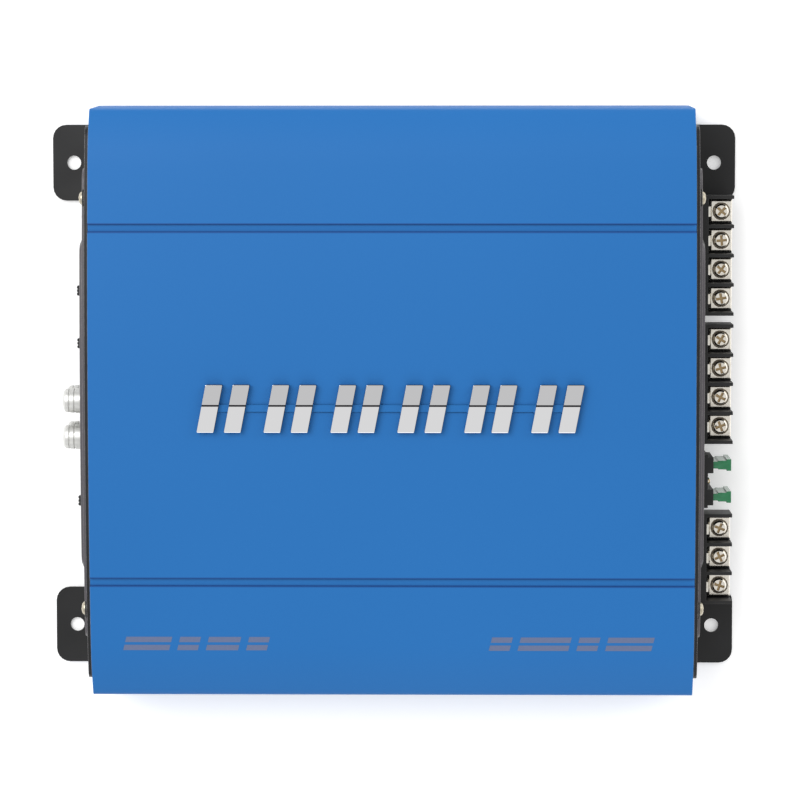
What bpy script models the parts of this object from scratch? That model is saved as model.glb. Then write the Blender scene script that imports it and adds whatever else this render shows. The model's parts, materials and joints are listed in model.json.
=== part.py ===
"""Car amplifier: a blue extruded heatsink cover between two black end panels with mounting feet.

Frame: metres, +Z up. The origin is the centre of the mounting plane, under the feet.
+X points to the output end (terminals and fuses), -X to the input end (jacks, switches, adjusters).
"""
import math

import bmesh
import bpy
from mathutils import Matrix, Vector

MM = 0.001
SMALL_SIDES = 14                    # sides of screws and small holes
ROUND_SIDES = 18                    # sides of jacks, adjusters and clamp recesses
FINE_SIDES = 24                     # sides of foot holes and the transformer
GAP = 0.3 * MM                      # clearance between pieces that touch, nest or slide

# Heatsink cover: one extrusion along X
COVER_LENGTH = 262 * MM
HALF_LENGTH = COVER_LENGTH / 2
COVER_WIDTH = 256 * MM              # between the upper edges of the two side walls
HALF_WIDTH = COVER_WIDTH / 2
CASE_HEIGHT = 56 * MM               # crown of the cover above the mounting plane
CROWN_DROP = 5.2 * MM               # fall of the crown from the middle to the shoulders
CROWN_POWER = 2.2
CROWN_STEPS = 13                    # chords of half the crown
SHOULDER_STEPS = 8                  # chords of a shoulder
SHOULDER_WIDTH = 24 * MM
SHOULDER_DROP = 8.3 * MM
EDGE_CHAMFER = 0.8 * MM
TOP_THICKNESS = 4 * MM
WALL_THICKNESS = 9 * MM             # thick, to carry the heat and take the bottom screws
WALL_DRAFT = 1.2 * MM               # how much wider the walls stand at their foot
WALL_FOOT_Z = 3 * MM
GROOVE_Y = 76.8 * MM
GROOVE_WIDTH = 3.4 * MM
GROOVE_DEPTH = 1.2 * MM
CHANNEL_RADIUS = 3.6 * MM           # round screw channels under the top
CHANNEL_MOUTH = 2 * MM
CHANNEL_HANG = 0.908                # axis below the cover's underside, as a share of the channel's radius

# Circuit board and bottom plate
BOARD_Z = 9 * MM
BOARD_THICKNESS = 1.6 * MM
BOARD_LENGTH = COVER_LENGTH - 5 * MM
SLOT_DEPTH = 2.4 * MM               # how deep the board's edges sit in the walls
PLATE_Z = 1.2 * MM
PLATE_INSET = 0.5 * MM
BOTTOM_SCREW_X = HALF_LENGTH - 26 * MM
BOTTOM_SCREW_LENGTH = 6 * MM
BOTTOM_SCREW_RADIUS = 1.5 * MM
BOTTOM_HEAD_RADIUS = 3 * MM
BOTTOM_RECESS = (1.8 * MM, 0.8 * MM, 0.9 * MM)     # reach, arm width and depth of the cross recess

# End panels: folded sheet with a raised zone, a raised middle band and two feet each
PANEL_WIDTH = COVER_WIDTH - 14.6 * MM
PANEL_THICKNESS = 1.5 * MM
PANEL_DROP = 2.5 * MM               # upper edge below the cover's top surface
PANEL_FOOT_CLEARANCE = 1 * MM       # lower edge above the mounting plane, between the feet
PANEL_CORNER = 5 * MM
CORNER_STEPS = 3                    # chords in each of a panel's corners
CURVE_STEPS = 12                    # chords along a panel's upper edge
RAISED_STEP = 1.15 * MM             # height of each of the two raised levels
ZONE_WIDTH = PANEL_WIDTH - 35.4 * MM
ZONE_DROP = 4.2 * MM
ZONE_FLOOR_Z = 6 * MM
ZONE_SLOPE = 0.8 * MM
BAND_WIDTH = ZONE_WIDTH - 52 * MM
BAND_DROP = 5 * MM
BAND_FLOOR_Z = 7.5 * MM
BAND_SLOPE = 7 * MM
FOOT_REACH = HALF_LENGTH + 20.85 * MM
FOOT_LENGTH = 33.8 * MM
FOOT_CORNER = 6 * MM
FOOT_HOLE_RADIUS = 3.15 * MM
FOOT_HOLE_X = FOOT_REACH - 9.35 * MM
BEND_RADIUS = 2.5 * MM
PANEL_SCREW_Y = PANEL_WIDTH / 2 - 31.3 * MM
PANEL_SCREW_DROP = TOP_THICKNESS + CHANNEL_HANG * CHANNEL_RADIUS
PANEL_SCREW_RADIUS = 1.5 * MM
PANEL_SCREW_LENGTH = 12 * MM
PANEL_HEAD_RADIUS = 2.9 * MM
PANEL_HEAD_HEIGHT = 2.8 * MM
PANEL_RECESS = (1.9 * MM, 0.9 * MM, 1.3 * MM)
DIMPLE_CLEARANCE = 0.7 * MM         # round each panel screw's head, in its dimple
DIMPLE_WALL = 1 * MM
DIMPLE_SINK = 0.2 * MM              # rim of each dimple below the raised zone's face
SHEET_X = HALF_LENGTH + GAP         # inner face of each end panel
ZONE_X = SHEET_X + PANEL_THICKNESS + RAISED_STEP
BAND_X = ZONE_X + RAISED_STEP

# Barrier terminal blocks
TERMINAL_PITCH = 12.8 * MM
BARRIER_WALL = 1.5 * MM
BARRIER_HEIGHT = 15.6 * MM
BLOCK_INNER_X = HALF_LENGTH - 13 * MM
BLOCK_OUTER_X = HALF_LENGTH + 18.4 * MM
POCKET_X = BLOCK_OUTER_X - 11.2 * MM
POCKET_FLOOR = 3.7 * MM             # above the block's underside
CONTACT_THICKNESS = 1.0 * MM
CONTACT_WIDTH = TERMINAL_PITCH - BARRIER_WALL - 1.5 * MM
TAB_THICKNESS = 1.1 * MM
TAB_WIDTH = 4.4 * MM
TAB_HEIGHT = 9 * MM
CLAMP_X = BLOCK_OUTER_X - 4.9 * MM
CLAMP_LENGTH = 9.6 * MM
CLAMP_WIDTH = CONTACT_WIDTH
CLAMP_THICKNESS = 1.6 * MM
CLAMP_RECESS = 0.7 * MM
CLAMP_CHAMFER = 0.5 * MM
SCREW_RADIUS = 1.75 * MM
SCREW_LENGTH = 4.8 * MM
SCREW_HEAD_RADIUS = 3.3 * MM
SCREW_HEAD_HEIGHT = 2.6 * MM
SCREW_HEAD_SIDE = 1.6 * MM
SCREW_TOP_RADIUS = SCREW_HEAD_RADIUS - 0.7 * MM
CLAMP_RECESS_RADIUS = SCREW_HEAD_RADIUS + 0.6 * MM
SCREW_RECESS = (2.3 * MM, 1.1 * MM, 1.6 * MM)
SCREW_HOLE_FLOOR = 1 * MM
SCREW_TURN = 0.83                   # each screw stopped at its own angle
SPEAKER_LENGTH = 4 * TERMINAL_PITCH + BARRIER_WALL
POWER_LENGTH = 3 * TERMINAL_PITCH + BARRIER_WALL

# Fuse holder and blade fuses
FUSE_PITCH = 14.1 * MM
FUSE_Z = 24.2 * MM
FUSE_HEIGHT = 19.1 * MM
FUSE_HEAD_THICKNESS = 5.1 * MM
FUSE_SHOULDER_THICKNESS = 3.9 * MM
FUSE_BODY_THICKNESS = 3.1 * MM
FUSE_HEAD_LENGTH = 2 * MM
FUSE_SHOULDER_LENGTH = 3.7 * MM
FUSE_BODY_LENGTH = 11.7 * MM
FUSE_OUTER_X = HALF_LENGTH + 17.2 * MM
BLADE_LENGTH = 7.2 * MM
BLADE_ROOT = 1 * MM                 # how far each blade reaches into the body
BLADE_WIDTH = 5.2 * MM
BLADE_THICKNESS = 0.7 * MM
TOWER_WIDTH = 6.9 * MM
TOWER_HEIGHT = 22.5 * MM
TOWER_OUTER_X = HALF_LENGTH + 9.3 * MM
HOLDER_FACE_X = HALF_LENGTH + 6.9 * MM
HOLDER_INNER_X = HALF_LENGTH - 11 * MM
HOLDER_MARGIN = 1.2 * MM
HOLDER_LENGTH = FUSE_PITCH + TOWER_WIDTH + 2 * HOLDER_MARGIN

# Output row, from the +Y end: two speaker blocks, the fuse holder and the power block
ROW_GAP = 3.8 * MM                  # between neighbours
ROW_MIDDLE = -0.1 * MM
ROW_START = ROW_MIDDLE + (2 * SPEAKER_LENGTH + HOLDER_LENGTH + POWER_LENGTH + 3 * ROW_GAP) / 2
SPEAKER_BLOCK_A_Y = ROW_START - SPEAKER_LENGTH / 2
SPEAKER_BLOCK_B_Y = SPEAKER_BLOCK_A_Y - SPEAKER_LENGTH - ROW_GAP
HOLDER_Y = SPEAKER_BLOCK_B_Y - (SPEAKER_LENGTH + HOLDER_LENGTH) / 2 - ROW_GAP
POWER_BLOCK_Y = HOLDER_Y - (HOLDER_LENGTH + POWER_LENGTH) / 2 - ROW_GAP
FUSE_Y = (HOLDER_Y + FUSE_PITCH / 2, HOLDER_Y - FUSE_PITCH / 2)

# Phono jacks
JACK_Y = (0.9 * MM, -15 * MM)
JACK_Z = (22.2 * MM, 38 * MM)
JACK_INNER_X = HALF_LENGTH - 12.1 * MM
JACK_FACE_X = HALF_LENGTH - 0.1 * MM
JACK_REACH = HALF_LENGTH + 12.4 * MM
SHELL_RADIUS = 5.45 * MM
SHELL_TIP_RADIUS = SHELL_RADIUS - 1.25 * MM
SHELL_BORE = SHELL_RADIUS - 1.85 * MM
JACK_MARGIN = SHELL_RADIUS + 1.15 * MM             # block around the outer jacks' axes
JACK_HOLE_RADIUS = 1.6 * MM
JACK_HOLE_DEPTH = 9 * MM
JACK_POST_INSET = 0.8 * MM          # face of each post inside its shell's mouth
SHELL_GROOVES = (5.1 * MM, 2.8 * MM)               # each groove's distance from the mouth
SHELL_GROOVE_WIDTH = 0.4 * MM
SHELL_GROOVE_DEPTH = 0.4 * MM
SHELL_SLOPE = 0.1 * MM
SHELL_TIP_LENGTH = 0.9 * MM

# Control board, switches, adjusters and indicator behind the input panel
CONTROL_X = HALF_LENGTH - 14 * MM
CONTROL_THICKNESS = 1.6 * MM
CONTROL_Y = (-66 * MM, 84.5 * MM)
CONTROL_TOP_Z = 44 * MM
CONTROL_ROW_Z = 38 * MM
SWITCH_Y = (49 * MM, 26 * MM, -43 * MM)
CONTROL_CLEARANCE = 0.8 * MM        # between the housings and the back of the middle band
SWITCH_FACE_X = BAND_X - PANEL_THICKNESS - CONTROL_CLEARANCE
SWITCH_WALL = 1 * MM
SWITCH_TRAVEL = 2 * MM
KNOB_REACH = HALF_LENGTH + 6.3 * MM
KNOB_LENGTH = 4.4 * MM
KNOB_HEIGHT = 3 * MM
KNOB_FLANGE = 1.3 * MM
KNOB_FLANGE_THICKNESS = 1.2 * MM
KNOB_RIBS = 3
KNOB_RIB_HEIGHT = 0.5 * MM
KNOB_RIB_SLOPE = 0.3 * MM
ADJUSTER_Y = (66 * MM, 37.5 * MM, -29 * MM, -57 * MM)
ADJUSTER_FACE_X = SWITCH_FACE_X
ADJUSTER_REACH = HALF_LENGTH + 4.2 * MM
ADJUSTER_RADIUS = 3 * MM
ADJUSTER_STEM_RADIUS = 2 * MM
ADJUSTER_STEM_LENGTH = 5 * MM
ADJUSTER_SLOT_WIDTH = 1 * MM
ADJUSTER_SLOT_DEPTH = 1.4 * MM
ADJUSTER_RIM = 0.4 * MM
HOUSING_SIZE = 8.5 * MM
LAMP_Y = 81 * MM
LAMP_RADIUS = 1.5 * MM
LAMP_FLANGE = 0.5 * MM
LAMP_FLANGE_THICKNESS = 0.6 * MM
LAMP_REACH = ADJUSTER_REACH
LAMP_FACE_X = ZONE_X - PANEL_THICKNESS - LAMP_FLANGE_THICKNESS - GAP

# Large parts on the circuit board
TRANSFORMER_PLACE = (HALF_LENGTH - 91 * MM, -66 * MM)
TRANSFORMER_RADIUS = 26 * MM
TRANSFORMER_BORE = 9 * MM
TRANSFORMER_HEIGHT = 25 * MM
TRANSFORMER_STEPS = 12              # chords around the winding's section
TRANSFORMER_ROUNDNESS = 0.6         # 1 is a round section, 0 a square one
CAPACITOR_X = HALF_LENGTH - 35 * MM
CAPACITOR_Y = (-55 * MM, -79 * MM)
CAPACITOR_RADIUS = 11 * MM
CAPACITOR_HEIGHT = 29 * MM
CAPACITOR_RIM = 1 * MM
CAPACITOR_CRIMP_Z = 5 * MM
TRANSISTOR_COUNT = 12
TRANSISTOR_PITCH = 16 * MM
TRANSISTOR_FIRST_X = -74 * MM
TRANSISTOR_WIDTH = 10 * MM
TRANSISTOR_THICKNESS = 4.6 * MM
TRANSISTOR_HEIGHT = 15 * MM
TRANSISTOR_Z = 14 * MM
LEG_WIDTH = 7 * MM                  # the three legs of a transistor, drawn as one flat strip
LEG_THICKNESS = 2 * MM
CLAMP_BAR_THICKNESS = 4 * MM
CLAMP_BAR_HEIGHT = 6 * MM

# Raised emblem on the top: six pairs of slanted bars on a thin carrier strip
EMBLEM_PAIRS = 6
EMBLEM_LENGTH = 167 * MM
EMBLEM_WIDTH = 20.8 * MM
EMBLEM_HEIGHT = 2.5 * MM
EMBLEM_OFFSET = (-0.5 * MM, -0.7 * MM)
EMBLEM_BAR = 7.4 * MM
EMBLEM_BAR_GAP = 4.3 * MM
EMBLEM_SLANT = 4 * MM
CARRIER_WIDTH = 3.2 * MM
CARRIER_THICKNESS = 0.5 * MM

# Colour, roughness and metallic value of each finish
FINISHES = {
    "blue_paint": ((0.045, 0.19, 0.52), 0.38, 0.3),
    "black_coat": ((0.022, 0.022, 0.024), 0.45, 0.0),
    "black_plastic": ((0.02, 0.02, 0.022), 0.5, 0.0),
    "nickel": ((0.78, 0.75, 0.68), 0.22, 1.0),
    "silver": ((0.86, 0.86, 0.84), 0.2, 1.0),
    "chrome": ((0.8, 0.8, 0.82), 0.06, 1.0),
    "steel": ((0.5, 0.5, 0.52), 0.35, 1.0),
    "green_plastic": ((0.02, 0.17, 0.07), 0.2, 0.0),
    "board_green": ((0.02, 0.13, 0.06), 0.45, 0.0),
    "amber_winding": ((0.45, 0.2, 0.06), 0.4, 0.6),
    "black_sleeve": ((0.03, 0.03, 0.05), 0.4, 0.0),
    "red_lens": ((0.5, 0.02, 0.02), 0.15, 0.0),
}

BOARD_TOP = BOARD_Z + BOARD_THICKNESS
SEAT_Z = BOARD_TOP + GAP            # underside of everything that stands on the circuit board
EDGE_Z = CASE_HEIGHT - CROWN_DROP - SHOULDER_DROP
WALL_FOOT_Y = HALF_WIDTH + WALL_DRAFT
FOOT_CENTRE_Y = (PANEL_WIDTH - FOOT_LENGTH) / 2
BOTTOM_SCREW_Y = WALL_FOOT_Y - WALL_THICKNESS / 2


# ---------------------------------------------------------------- shape tools

AXES = {
    "X": lambda u, v, w: (w, u, v),
    "Y": lambda u, v, w: (u, w, v),
    "Z": lambda u, v, w: (u, v, w),
}


def arc(centre, radius, start, end, steps):
    """Points on an arc between two angles in degrees."""
    points = []
    for step in range(steps + 1):
        angle = math.radians(start + (end - start) * step / steps)
        points.append((centre[0] + radius * math.cos(angle), centre[1] + radius * math.sin(angle)))
    return points


def rounded_rectangle(low, high, radius, steps=5):
    """Outline of a rectangle with four round corners."""
    points = []
    corners = (
        ((low[0] + radius, low[1] + radius), 180),
        ((high[0] - radius, low[1] + radius), 270),
        ((high[0] - radius, high[1] - radius), 0),
        ((low[0] + radius, high[1] - radius), 90),
    )
    for centre, start in corners:
        points += arc(centre, radius, start, start + 90, steps)
    return points


def add_loft(bm, first, second, axis, low, high):
    """Closed solid between two outlines with the same number of points."""
    place = AXES[axis]
    near = [bm.verts.new(place(u, v, low)) for u, v in first]
    far = [bm.verts.new(place(u, v, high)) for u, v in second]
    bm.faces.new(near)
    bm.faces.new(list(reversed(far)))
    for index in range(len(near)):
        after = (index + 1) % len(near)
        bm.faces.new((near[index], far[index], far[after], near[after]))


def add_prism(bm, outline, axis, low, high):
    """Closed solid with one outline along an axis."""
    add_loft(bm, outline, outline, axis, low, high)


def add_box(bm, low, high):
    """Closed box between two opposite corners, given in either order."""
    outline = [(low[0], low[1]), (high[0], low[1]), (high[0], high[1]), (low[0], high[1])]
    add_prism(bm, outline, "Z", low[2], high[2])


def add_turned(bm, profile, matrix, sides, closed=False):
    """Turn a (radius, height) profile about the matrix's Z axis; a closed profile makes a ring."""
    rings = []
    for radius, height in profile:
        if radius == 0:
            rings.append([bm.verts.new(matrix @ Vector((0, 0, height)))])
            continue
        ring = []
        for side in range(sides):
            angle = 2 * math.pi * side / sides
            point = Vector((radius * math.cos(angle), radius * math.sin(angle), height))
            ring.append(bm.verts.new(matrix @ point))
        rings.append(ring)
    pairs = list(zip(rings, rings[1:]))
    if closed:
        pairs.append((rings[-1], rings[0]))
    for lower, upper in pairs:
        for side in range(sides):
            after = (side + 1) % sides
            corners = [lower[side % len(lower)], lower[after % len(lower)]]
            corners += [upper[after % len(upper)], upper[side % len(upper)]]
            bm.faces.new(list(dict.fromkeys(corners)))


def upright(x, y, z):
    """Frame of a piece turned about +Z."""
    return Matrix.Translation((x, y, z))


def sideways(x, y, z, side):
    """Frame of a piece turned about X, with its height along +X or -X."""
    return Matrix.Translation((x, y, z)) @ Matrix.Rotation(side * math.pi / 2, 4, "Y")


def cylinder(radius, low, high):
    """Turned profile of a plain cylinder."""
    return [(0, low), (radius, low), (radius, high), (0, high)]


def clear_scene():
    for old in list(bpy.data.objects):
        bpy.data.objects.remove(old)


def finish_material(name, finish):
    colour, roughness, metallic = FINISHES[finish]
    material = bpy.data.materials.new(name)
    material.use_nodes = True
    shader = material.node_tree.nodes["Principled BSDF"]
    shader.inputs["Base Color"].default_value = (*colour, 1)
    shader.inputs["Roughness"].default_value = roughness
    shader.inputs["Metallic"].default_value = metallic
    material.diffuse_color = (*colour, 1)
    return material


def make_piece(name, finish, bm):
    """Named object from closed shapes, with its own material and smooth round sides."""
    bmesh.ops.recalc_face_normals(bm, faces=bm.faces)
    mesh = bpy.data.meshes.new(name)
    bm.to_mesh(mesh)
    bm.free()
    mesh.shade_smooth()
    mesh.set_sharp_from_angle(angle=math.radians(35))
    mesh.materials.append(finish_material(name, finish))
    piece = bpy.data.objects.new(name, mesh)
    bpy.context.collection.objects.link(piece)
    return piece


def make_tool(bm):
    """Hidden wire shape that a Boolean uses."""
    bmesh.ops.recalc_face_normals(bm, faces=bm.faces)
    mesh = bpy.data.meshes.new("tool")
    bm.to_mesh(mesh)
    bm.free()
    tool = bpy.data.objects.new("tool", mesh)
    bpy.context.collection.objects.link(tool)
    tool.hide_render = True
    tool.display_type = "WIRE"
    return tool


def combine(piece, bm, operation):
    """Add or cut the shapes in bm with a Boolean modifier."""
    modifier = piece.modifiers.new(operation.lower(), "BOOLEAN")
    modifier.operation = operation
    modifier.object = make_tool(bm)


def join(piece, bm):
    combine(piece, bm, "UNION")


def cut(piece, bm):
    combine(piece, bm, "DIFFERENCE")


def freeze(piece):
    """Give a piece the mesh that its modifiers make, so that copies can share it."""
    tools = [modifier.object for modifier in piece.modifiers]
    depsgraph = bpy.context.evaluated_depsgraph_get()
    mesh = bpy.data.meshes.new_from_object(piece.evaluated_get(depsgraph))
    piece.modifiers.clear()
    piece.data = mesh
    for tool in tools:
        bpy.data.objects.remove(tool)
    return mesh


def place_copy(name, mesh, location, turn=0.0, parent=None):
    """Object that shares a mesh, at its place and turned about +Z."""
    copy = bpy.data.objects.new(name, mesh)
    bpy.context.collection.objects.link(copy)
    copy.location = location
    copy.rotation_euler.z = turn
    copy.parent = parent
    return copy


# ---------------------------------------------------------------- case

def top_z(y):
    """Height of the cover's top surface at a distance y from the middle."""
    across = abs(y)
    crown_half = HALF_WIDTH - SHOULDER_WIDTH
    crown = CROWN_DROP * (min(across, crown_half) / crown_half) ** CROWN_POWER
    slope = CROWN_DROP * CROWN_POWER / crown_half
    past = max(0.0, across - crown_half)
    bend = (SHOULDER_DROP - slope * SHOULDER_WIDTH) / SHOULDER_WIDTH ** 2
    return CASE_HEIGHT - crown - slope * past - bend * past ** 2


def panel_screw_z():
    """Height of the panel screws, whose channels hang under the cover's top."""
    return top_z(PANEL_SCREW_Y) - PANEL_SCREW_DROP


def wall_y(z):
    """Outer face of the side wall at a height z."""
    return HALF_WIDTH + WALL_DRAFT * (EDGE_Z - z) / (EDGE_Z - WALL_FOOT_Z)


def inner_wall_y(z):
    """Inner face of the side wall at a height z."""
    return wall_y(z) - WALL_THICKNESS


def board_edge_y():
    """Edge of the circuit board, inside its slot in the side wall."""
    return inner_wall_y(BOARD_TOP) + SLOT_DEPTH


def cover_stations():
    """Distances from the middle at which the top surface has a point."""
    crown_half = HALF_WIDTH - SHOULDER_WIDTH
    crown = [crown_half * step / CROWN_STEPS for step in range(1, CROWN_STEPS + 1)]
    shoulder = [crown_half + SHOULDER_WIDTH * step / SHOULDER_STEPS for step in range(1, SHOULDER_STEPS)]
    return crown + shoulder


def cover_outer():
    """Right half of the outside, from the crown to the wall's foot."""
    points = [(0, CASE_HEIGHT)]
    near = GROOVE_Y - GROOVE_WIDTH / 2
    far = GROOVE_Y + GROOVE_WIDTH / 2
    floor = top_z(GROOVE_Y) - GROOVE_DEPTH
    groove = [(near, top_z(near)), (near, floor), (far, floor), (far, top_z(far))]
    stations = [y for y in cover_stations() if y < near or y > far]
    points += [(y, top_z(y)) for y in stations if y < near]
    points += groove
    points += [(y, top_z(y)) for y in stations if y > far]
    points += [(HALF_WIDTH - EDGE_CHAMFER, top_z(HALF_WIDTH - EDGE_CHAMFER))]
    points += [(wall_y(EDGE_Z - EDGE_CHAMFER), EDGE_Z - EDGE_CHAMFER), (WALL_FOOT_Y, WALL_FOOT_Z)]
    return points


def screw_channel():
    """Round open channel under the top, from its outer to its inner side."""
    centre = (PANEL_SCREW_Y, panel_screw_z())
    bore = PANEL_SCREW_RADIUS + GAP
    root = math.degrees(math.asin(CHANNEL_HANG))
    outer = math.degrees(math.asin(CHANNEL_MOUTH / 2 / CHANNEL_RADIUS))
    inner = math.degrees(math.asin(CHANNEL_MOUTH / 2 / bore))
    points = arc(centre, CHANNEL_RADIUS, root, outer - 90, 5)
    points += arc(centre, bore, inner - 90, 270 - inner, 10)
    points += arc(centre, CHANNEL_RADIUS, 270 - outer, 180 - root, 5)
    return points


def cover_inner():
    """Right half of the inside, from the wall's foot to under the crown."""
    slot_low = BOARD_Z - GAP
    slot_high = BOARD_TOP + GAP
    slot = board_edge_y() + GAP
    ceiling_y = HALF_WIDTH - WALL_THICKNESS
    points = [(inner_wall_y(z), z) for z in (WALL_FOOT_Z, slot_low)]
    points += [(slot, slot_low), (slot, slot_high), (inner_wall_y(slot_high), slot_high)]
    points.append((ceiling_y, top_z(ceiling_y) - TOP_THICKNESS))
    near = PANEL_SCREW_Y - CHANNEL_RADIUS
    far = PANEL_SCREW_Y + CHANNEL_RADIUS
    stations = [y for y in reversed(cover_stations()) if y < ceiling_y - GAP]
    points += [(y, top_z(y) - TOP_THICKNESS) for y in stations if y > far]
    points += screw_channel()
    points += [(y, top_z(y) - TOP_THICKNESS) for y in stations if y < near]
    points += [(0, CASE_HEIGHT - TOP_THICKNESS)]
    return points


def heatsink_cover():
    right = cover_outer() + cover_inner()
    left = [(-y, z) for y, z in reversed(right[1:-1])]
    bm = bmesh.new()
    add_prism(bm, right + left, "X", -HALF_LENGTH, HALF_LENGTH)
    cover = make_piece("heatsink_cover", "blue_paint", bm)
    holes = bmesh.new()
    hole = cylinder(BOTTOM_SCREW_RADIUS + GAP, 0, PLATE_Z + BOTTOM_SCREW_LENGTH + GAP)
    for x, y in bottom_screw_places():
        add_turned(holes, hole, upright(x, y, 0), SMALL_SIDES)
    cut(cover, holes)


def bottom_screw_places():
    return [(x * BOTTOM_SCREW_X, y * BOTTOM_SCREW_Y) for x in (-1, 1) for y in (-1, 1)]


def plate_thickness():
    return WALL_FOOT_Z - GAP - PLATE_Z


def bottom_plate():
    bm = bmesh.new()
    half_y = WALL_FOOT_Y - PLATE_INSET
    add_box(bm, (-HALF_LENGTH, -half_y, PLATE_Z), (HALF_LENGTH, half_y, WALL_FOOT_Z - GAP))
    plate = make_piece("bottom_plate", "black_coat", bm)
    holes = bmesh.new()
    sink = plate_thickness()
    head = BOTTOM_HEAD_RADIUS + GAP
    shaft = BOTTOM_SCREW_RADIUS + GAP
    profile = [(0, -sink), (head, -sink), (head, 0), (shaft, sink), (shaft, 2 * sink), (0, 2 * sink)]
    for x, y in bottom_screw_places():
        add_turned(holes, profile, upright(x, y, PLATE_Z), SMALL_SIDES)
    cut(plate, holes)


def bottom_screws():
    """Countersunk screws, flush under the bottom plate."""
    sink = plate_thickness()
    profile = [(0, 0), (BOTTOM_HEAD_RADIUS, 0), (BOTTOM_SCREW_RADIUS, sink)]
    profile += [(BOTTOM_SCREW_RADIUS, BOTTOM_SCREW_LENGTH), (0, BOTTOM_SCREW_LENGTH)]
    bm = bmesh.new()
    add_turned(bm, profile, upright(0, 0, 0), SMALL_SIDES)
    first = make_piece("bottom_screw_1", "steel", bm)
    recess = bmesh.new()
    add_cross(recess, BOTTOM_RECESS, 0, -1)
    cut(first, recess)
    mesh = freeze(first)
    places = bottom_screw_places()
    first.location = (*places[0], PLATE_Z)
    for number, place in enumerate(places[1:], 2):
        place_copy(f"bottom_screw_{number}", mesh, (*place, PLATE_Z), turn=number * 0.7)


def add_cross(bm, recess, face_z, outward):
    """Cross-shaped prism for a screwdriver recess in a face that looks up (1) or down (-1)."""
    reach, width, depth = recess
    half = width / 2
    arm = [(reach, -half), (reach, half), (half, half)]
    outline = []
    for quarter in range(4):
        turn = Matrix.Rotation(quarter * math.pi / 2, 2)
        outline += [tuple(turn @ Vector(point)) for point in arm]
    add_prism(bm, outline, "Z", face_z - outward * depth, face_z + outward * GAP)


# ---------------------------------------------------------------- end panels

def panel_outline(width, drop, floor_z, corner):
    """Outline that follows the cover's top curve a drop below it, with round corners."""
    half = width / 2
    inside = half - corner
    shoulder_z = top_z(inside) - drop
    points = arc((-inside, floor_z + corner), corner, 180, 270, CORNER_STEPS)
    points += arc((inside, floor_z + corner), corner, 270, 360, CORNER_STEPS)
    points += arc((inside, shoulder_z - corner), corner, 0, 90, CORNER_STEPS)
    for step in range(1, CURVE_STEPS):
        y = inside - 2 * inside * step / CURVE_STEPS
        points.append((y, top_z(y) - drop))
    points += arc((-inside, shoulder_z - corner), corner, 90, 180, CORNER_STEPS)
    return points


def add_raised_level(bm, side, width, drop, floor_z, slope, start_x, end_x, inset):
    """Raised level of an end panel, whose sides slope in towards its outer face."""
    corner = PANEL_CORNER - inset / 2
    low = panel_outline(width - 2 * inset, drop + inset, floor_z + inset, corner)
    top_inset = inset + RAISED_STEP / 2
    high = panel_outline(width - 2 * inset - 2 * slope, drop + top_inset, floor_z + top_inset, corner)
    add_loft(bm, low, high, "X", side * start_x, side * end_x)


def add_foot(panel, side, y_sign):
    """Foot bent out of the sheet, with round outer corners and a screw hole."""
    centre_y = y_sign * FOOT_CENTRE_Y
    low_y = centre_y - FOOT_LENGTH / 2
    high_y = centre_y + FOOT_LENGTH / 2
    inner_bend = BEND_RADIUS - PANEL_THICKNESS
    centre = (SHEET_X + BEND_RADIUS, BEND_RADIUS)
    flat_x = centre[0] + PANEL_THICKNESS
    profile = [(flat_x, PANEL_THICKNESS)] + arc(centre, inner_bend, 270, 180, 4)
    profile += [(SHEET_X + PANEL_THICKNESS, ZONE_FLOOR_Z), (SHEET_X, ZONE_FLOOR_Z)]
    profile += arc(centre, BEND_RADIUS, 180, 270, 5) + [(flat_x, 0)]
    bend = bmesh.new()
    add_prism(bend, [(side * x, z) for x, z in profile], "Y", low_y, high_y)
    join(panel, bend)
    tread = bmesh.new()
    corner_x = FOOT_REACH - FOOT_CORNER
    outline = [(centre[0], low_y)]
    outline += arc((corner_x, low_y + FOOT_CORNER), FOOT_CORNER, 270, 360, 5)
    outline += arc((corner_x, high_y - FOOT_CORNER), FOOT_CORNER, 0, 90, 5)
    outline += [(centre[0], high_y)]
    add_prism(tread, [(side * x, y) for x, y in outline], "Z", 0, PANEL_THICKNESS)
    join(panel, tread)
    return upright(side * FOOT_HOLE_X, centre_y, 0)


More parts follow.
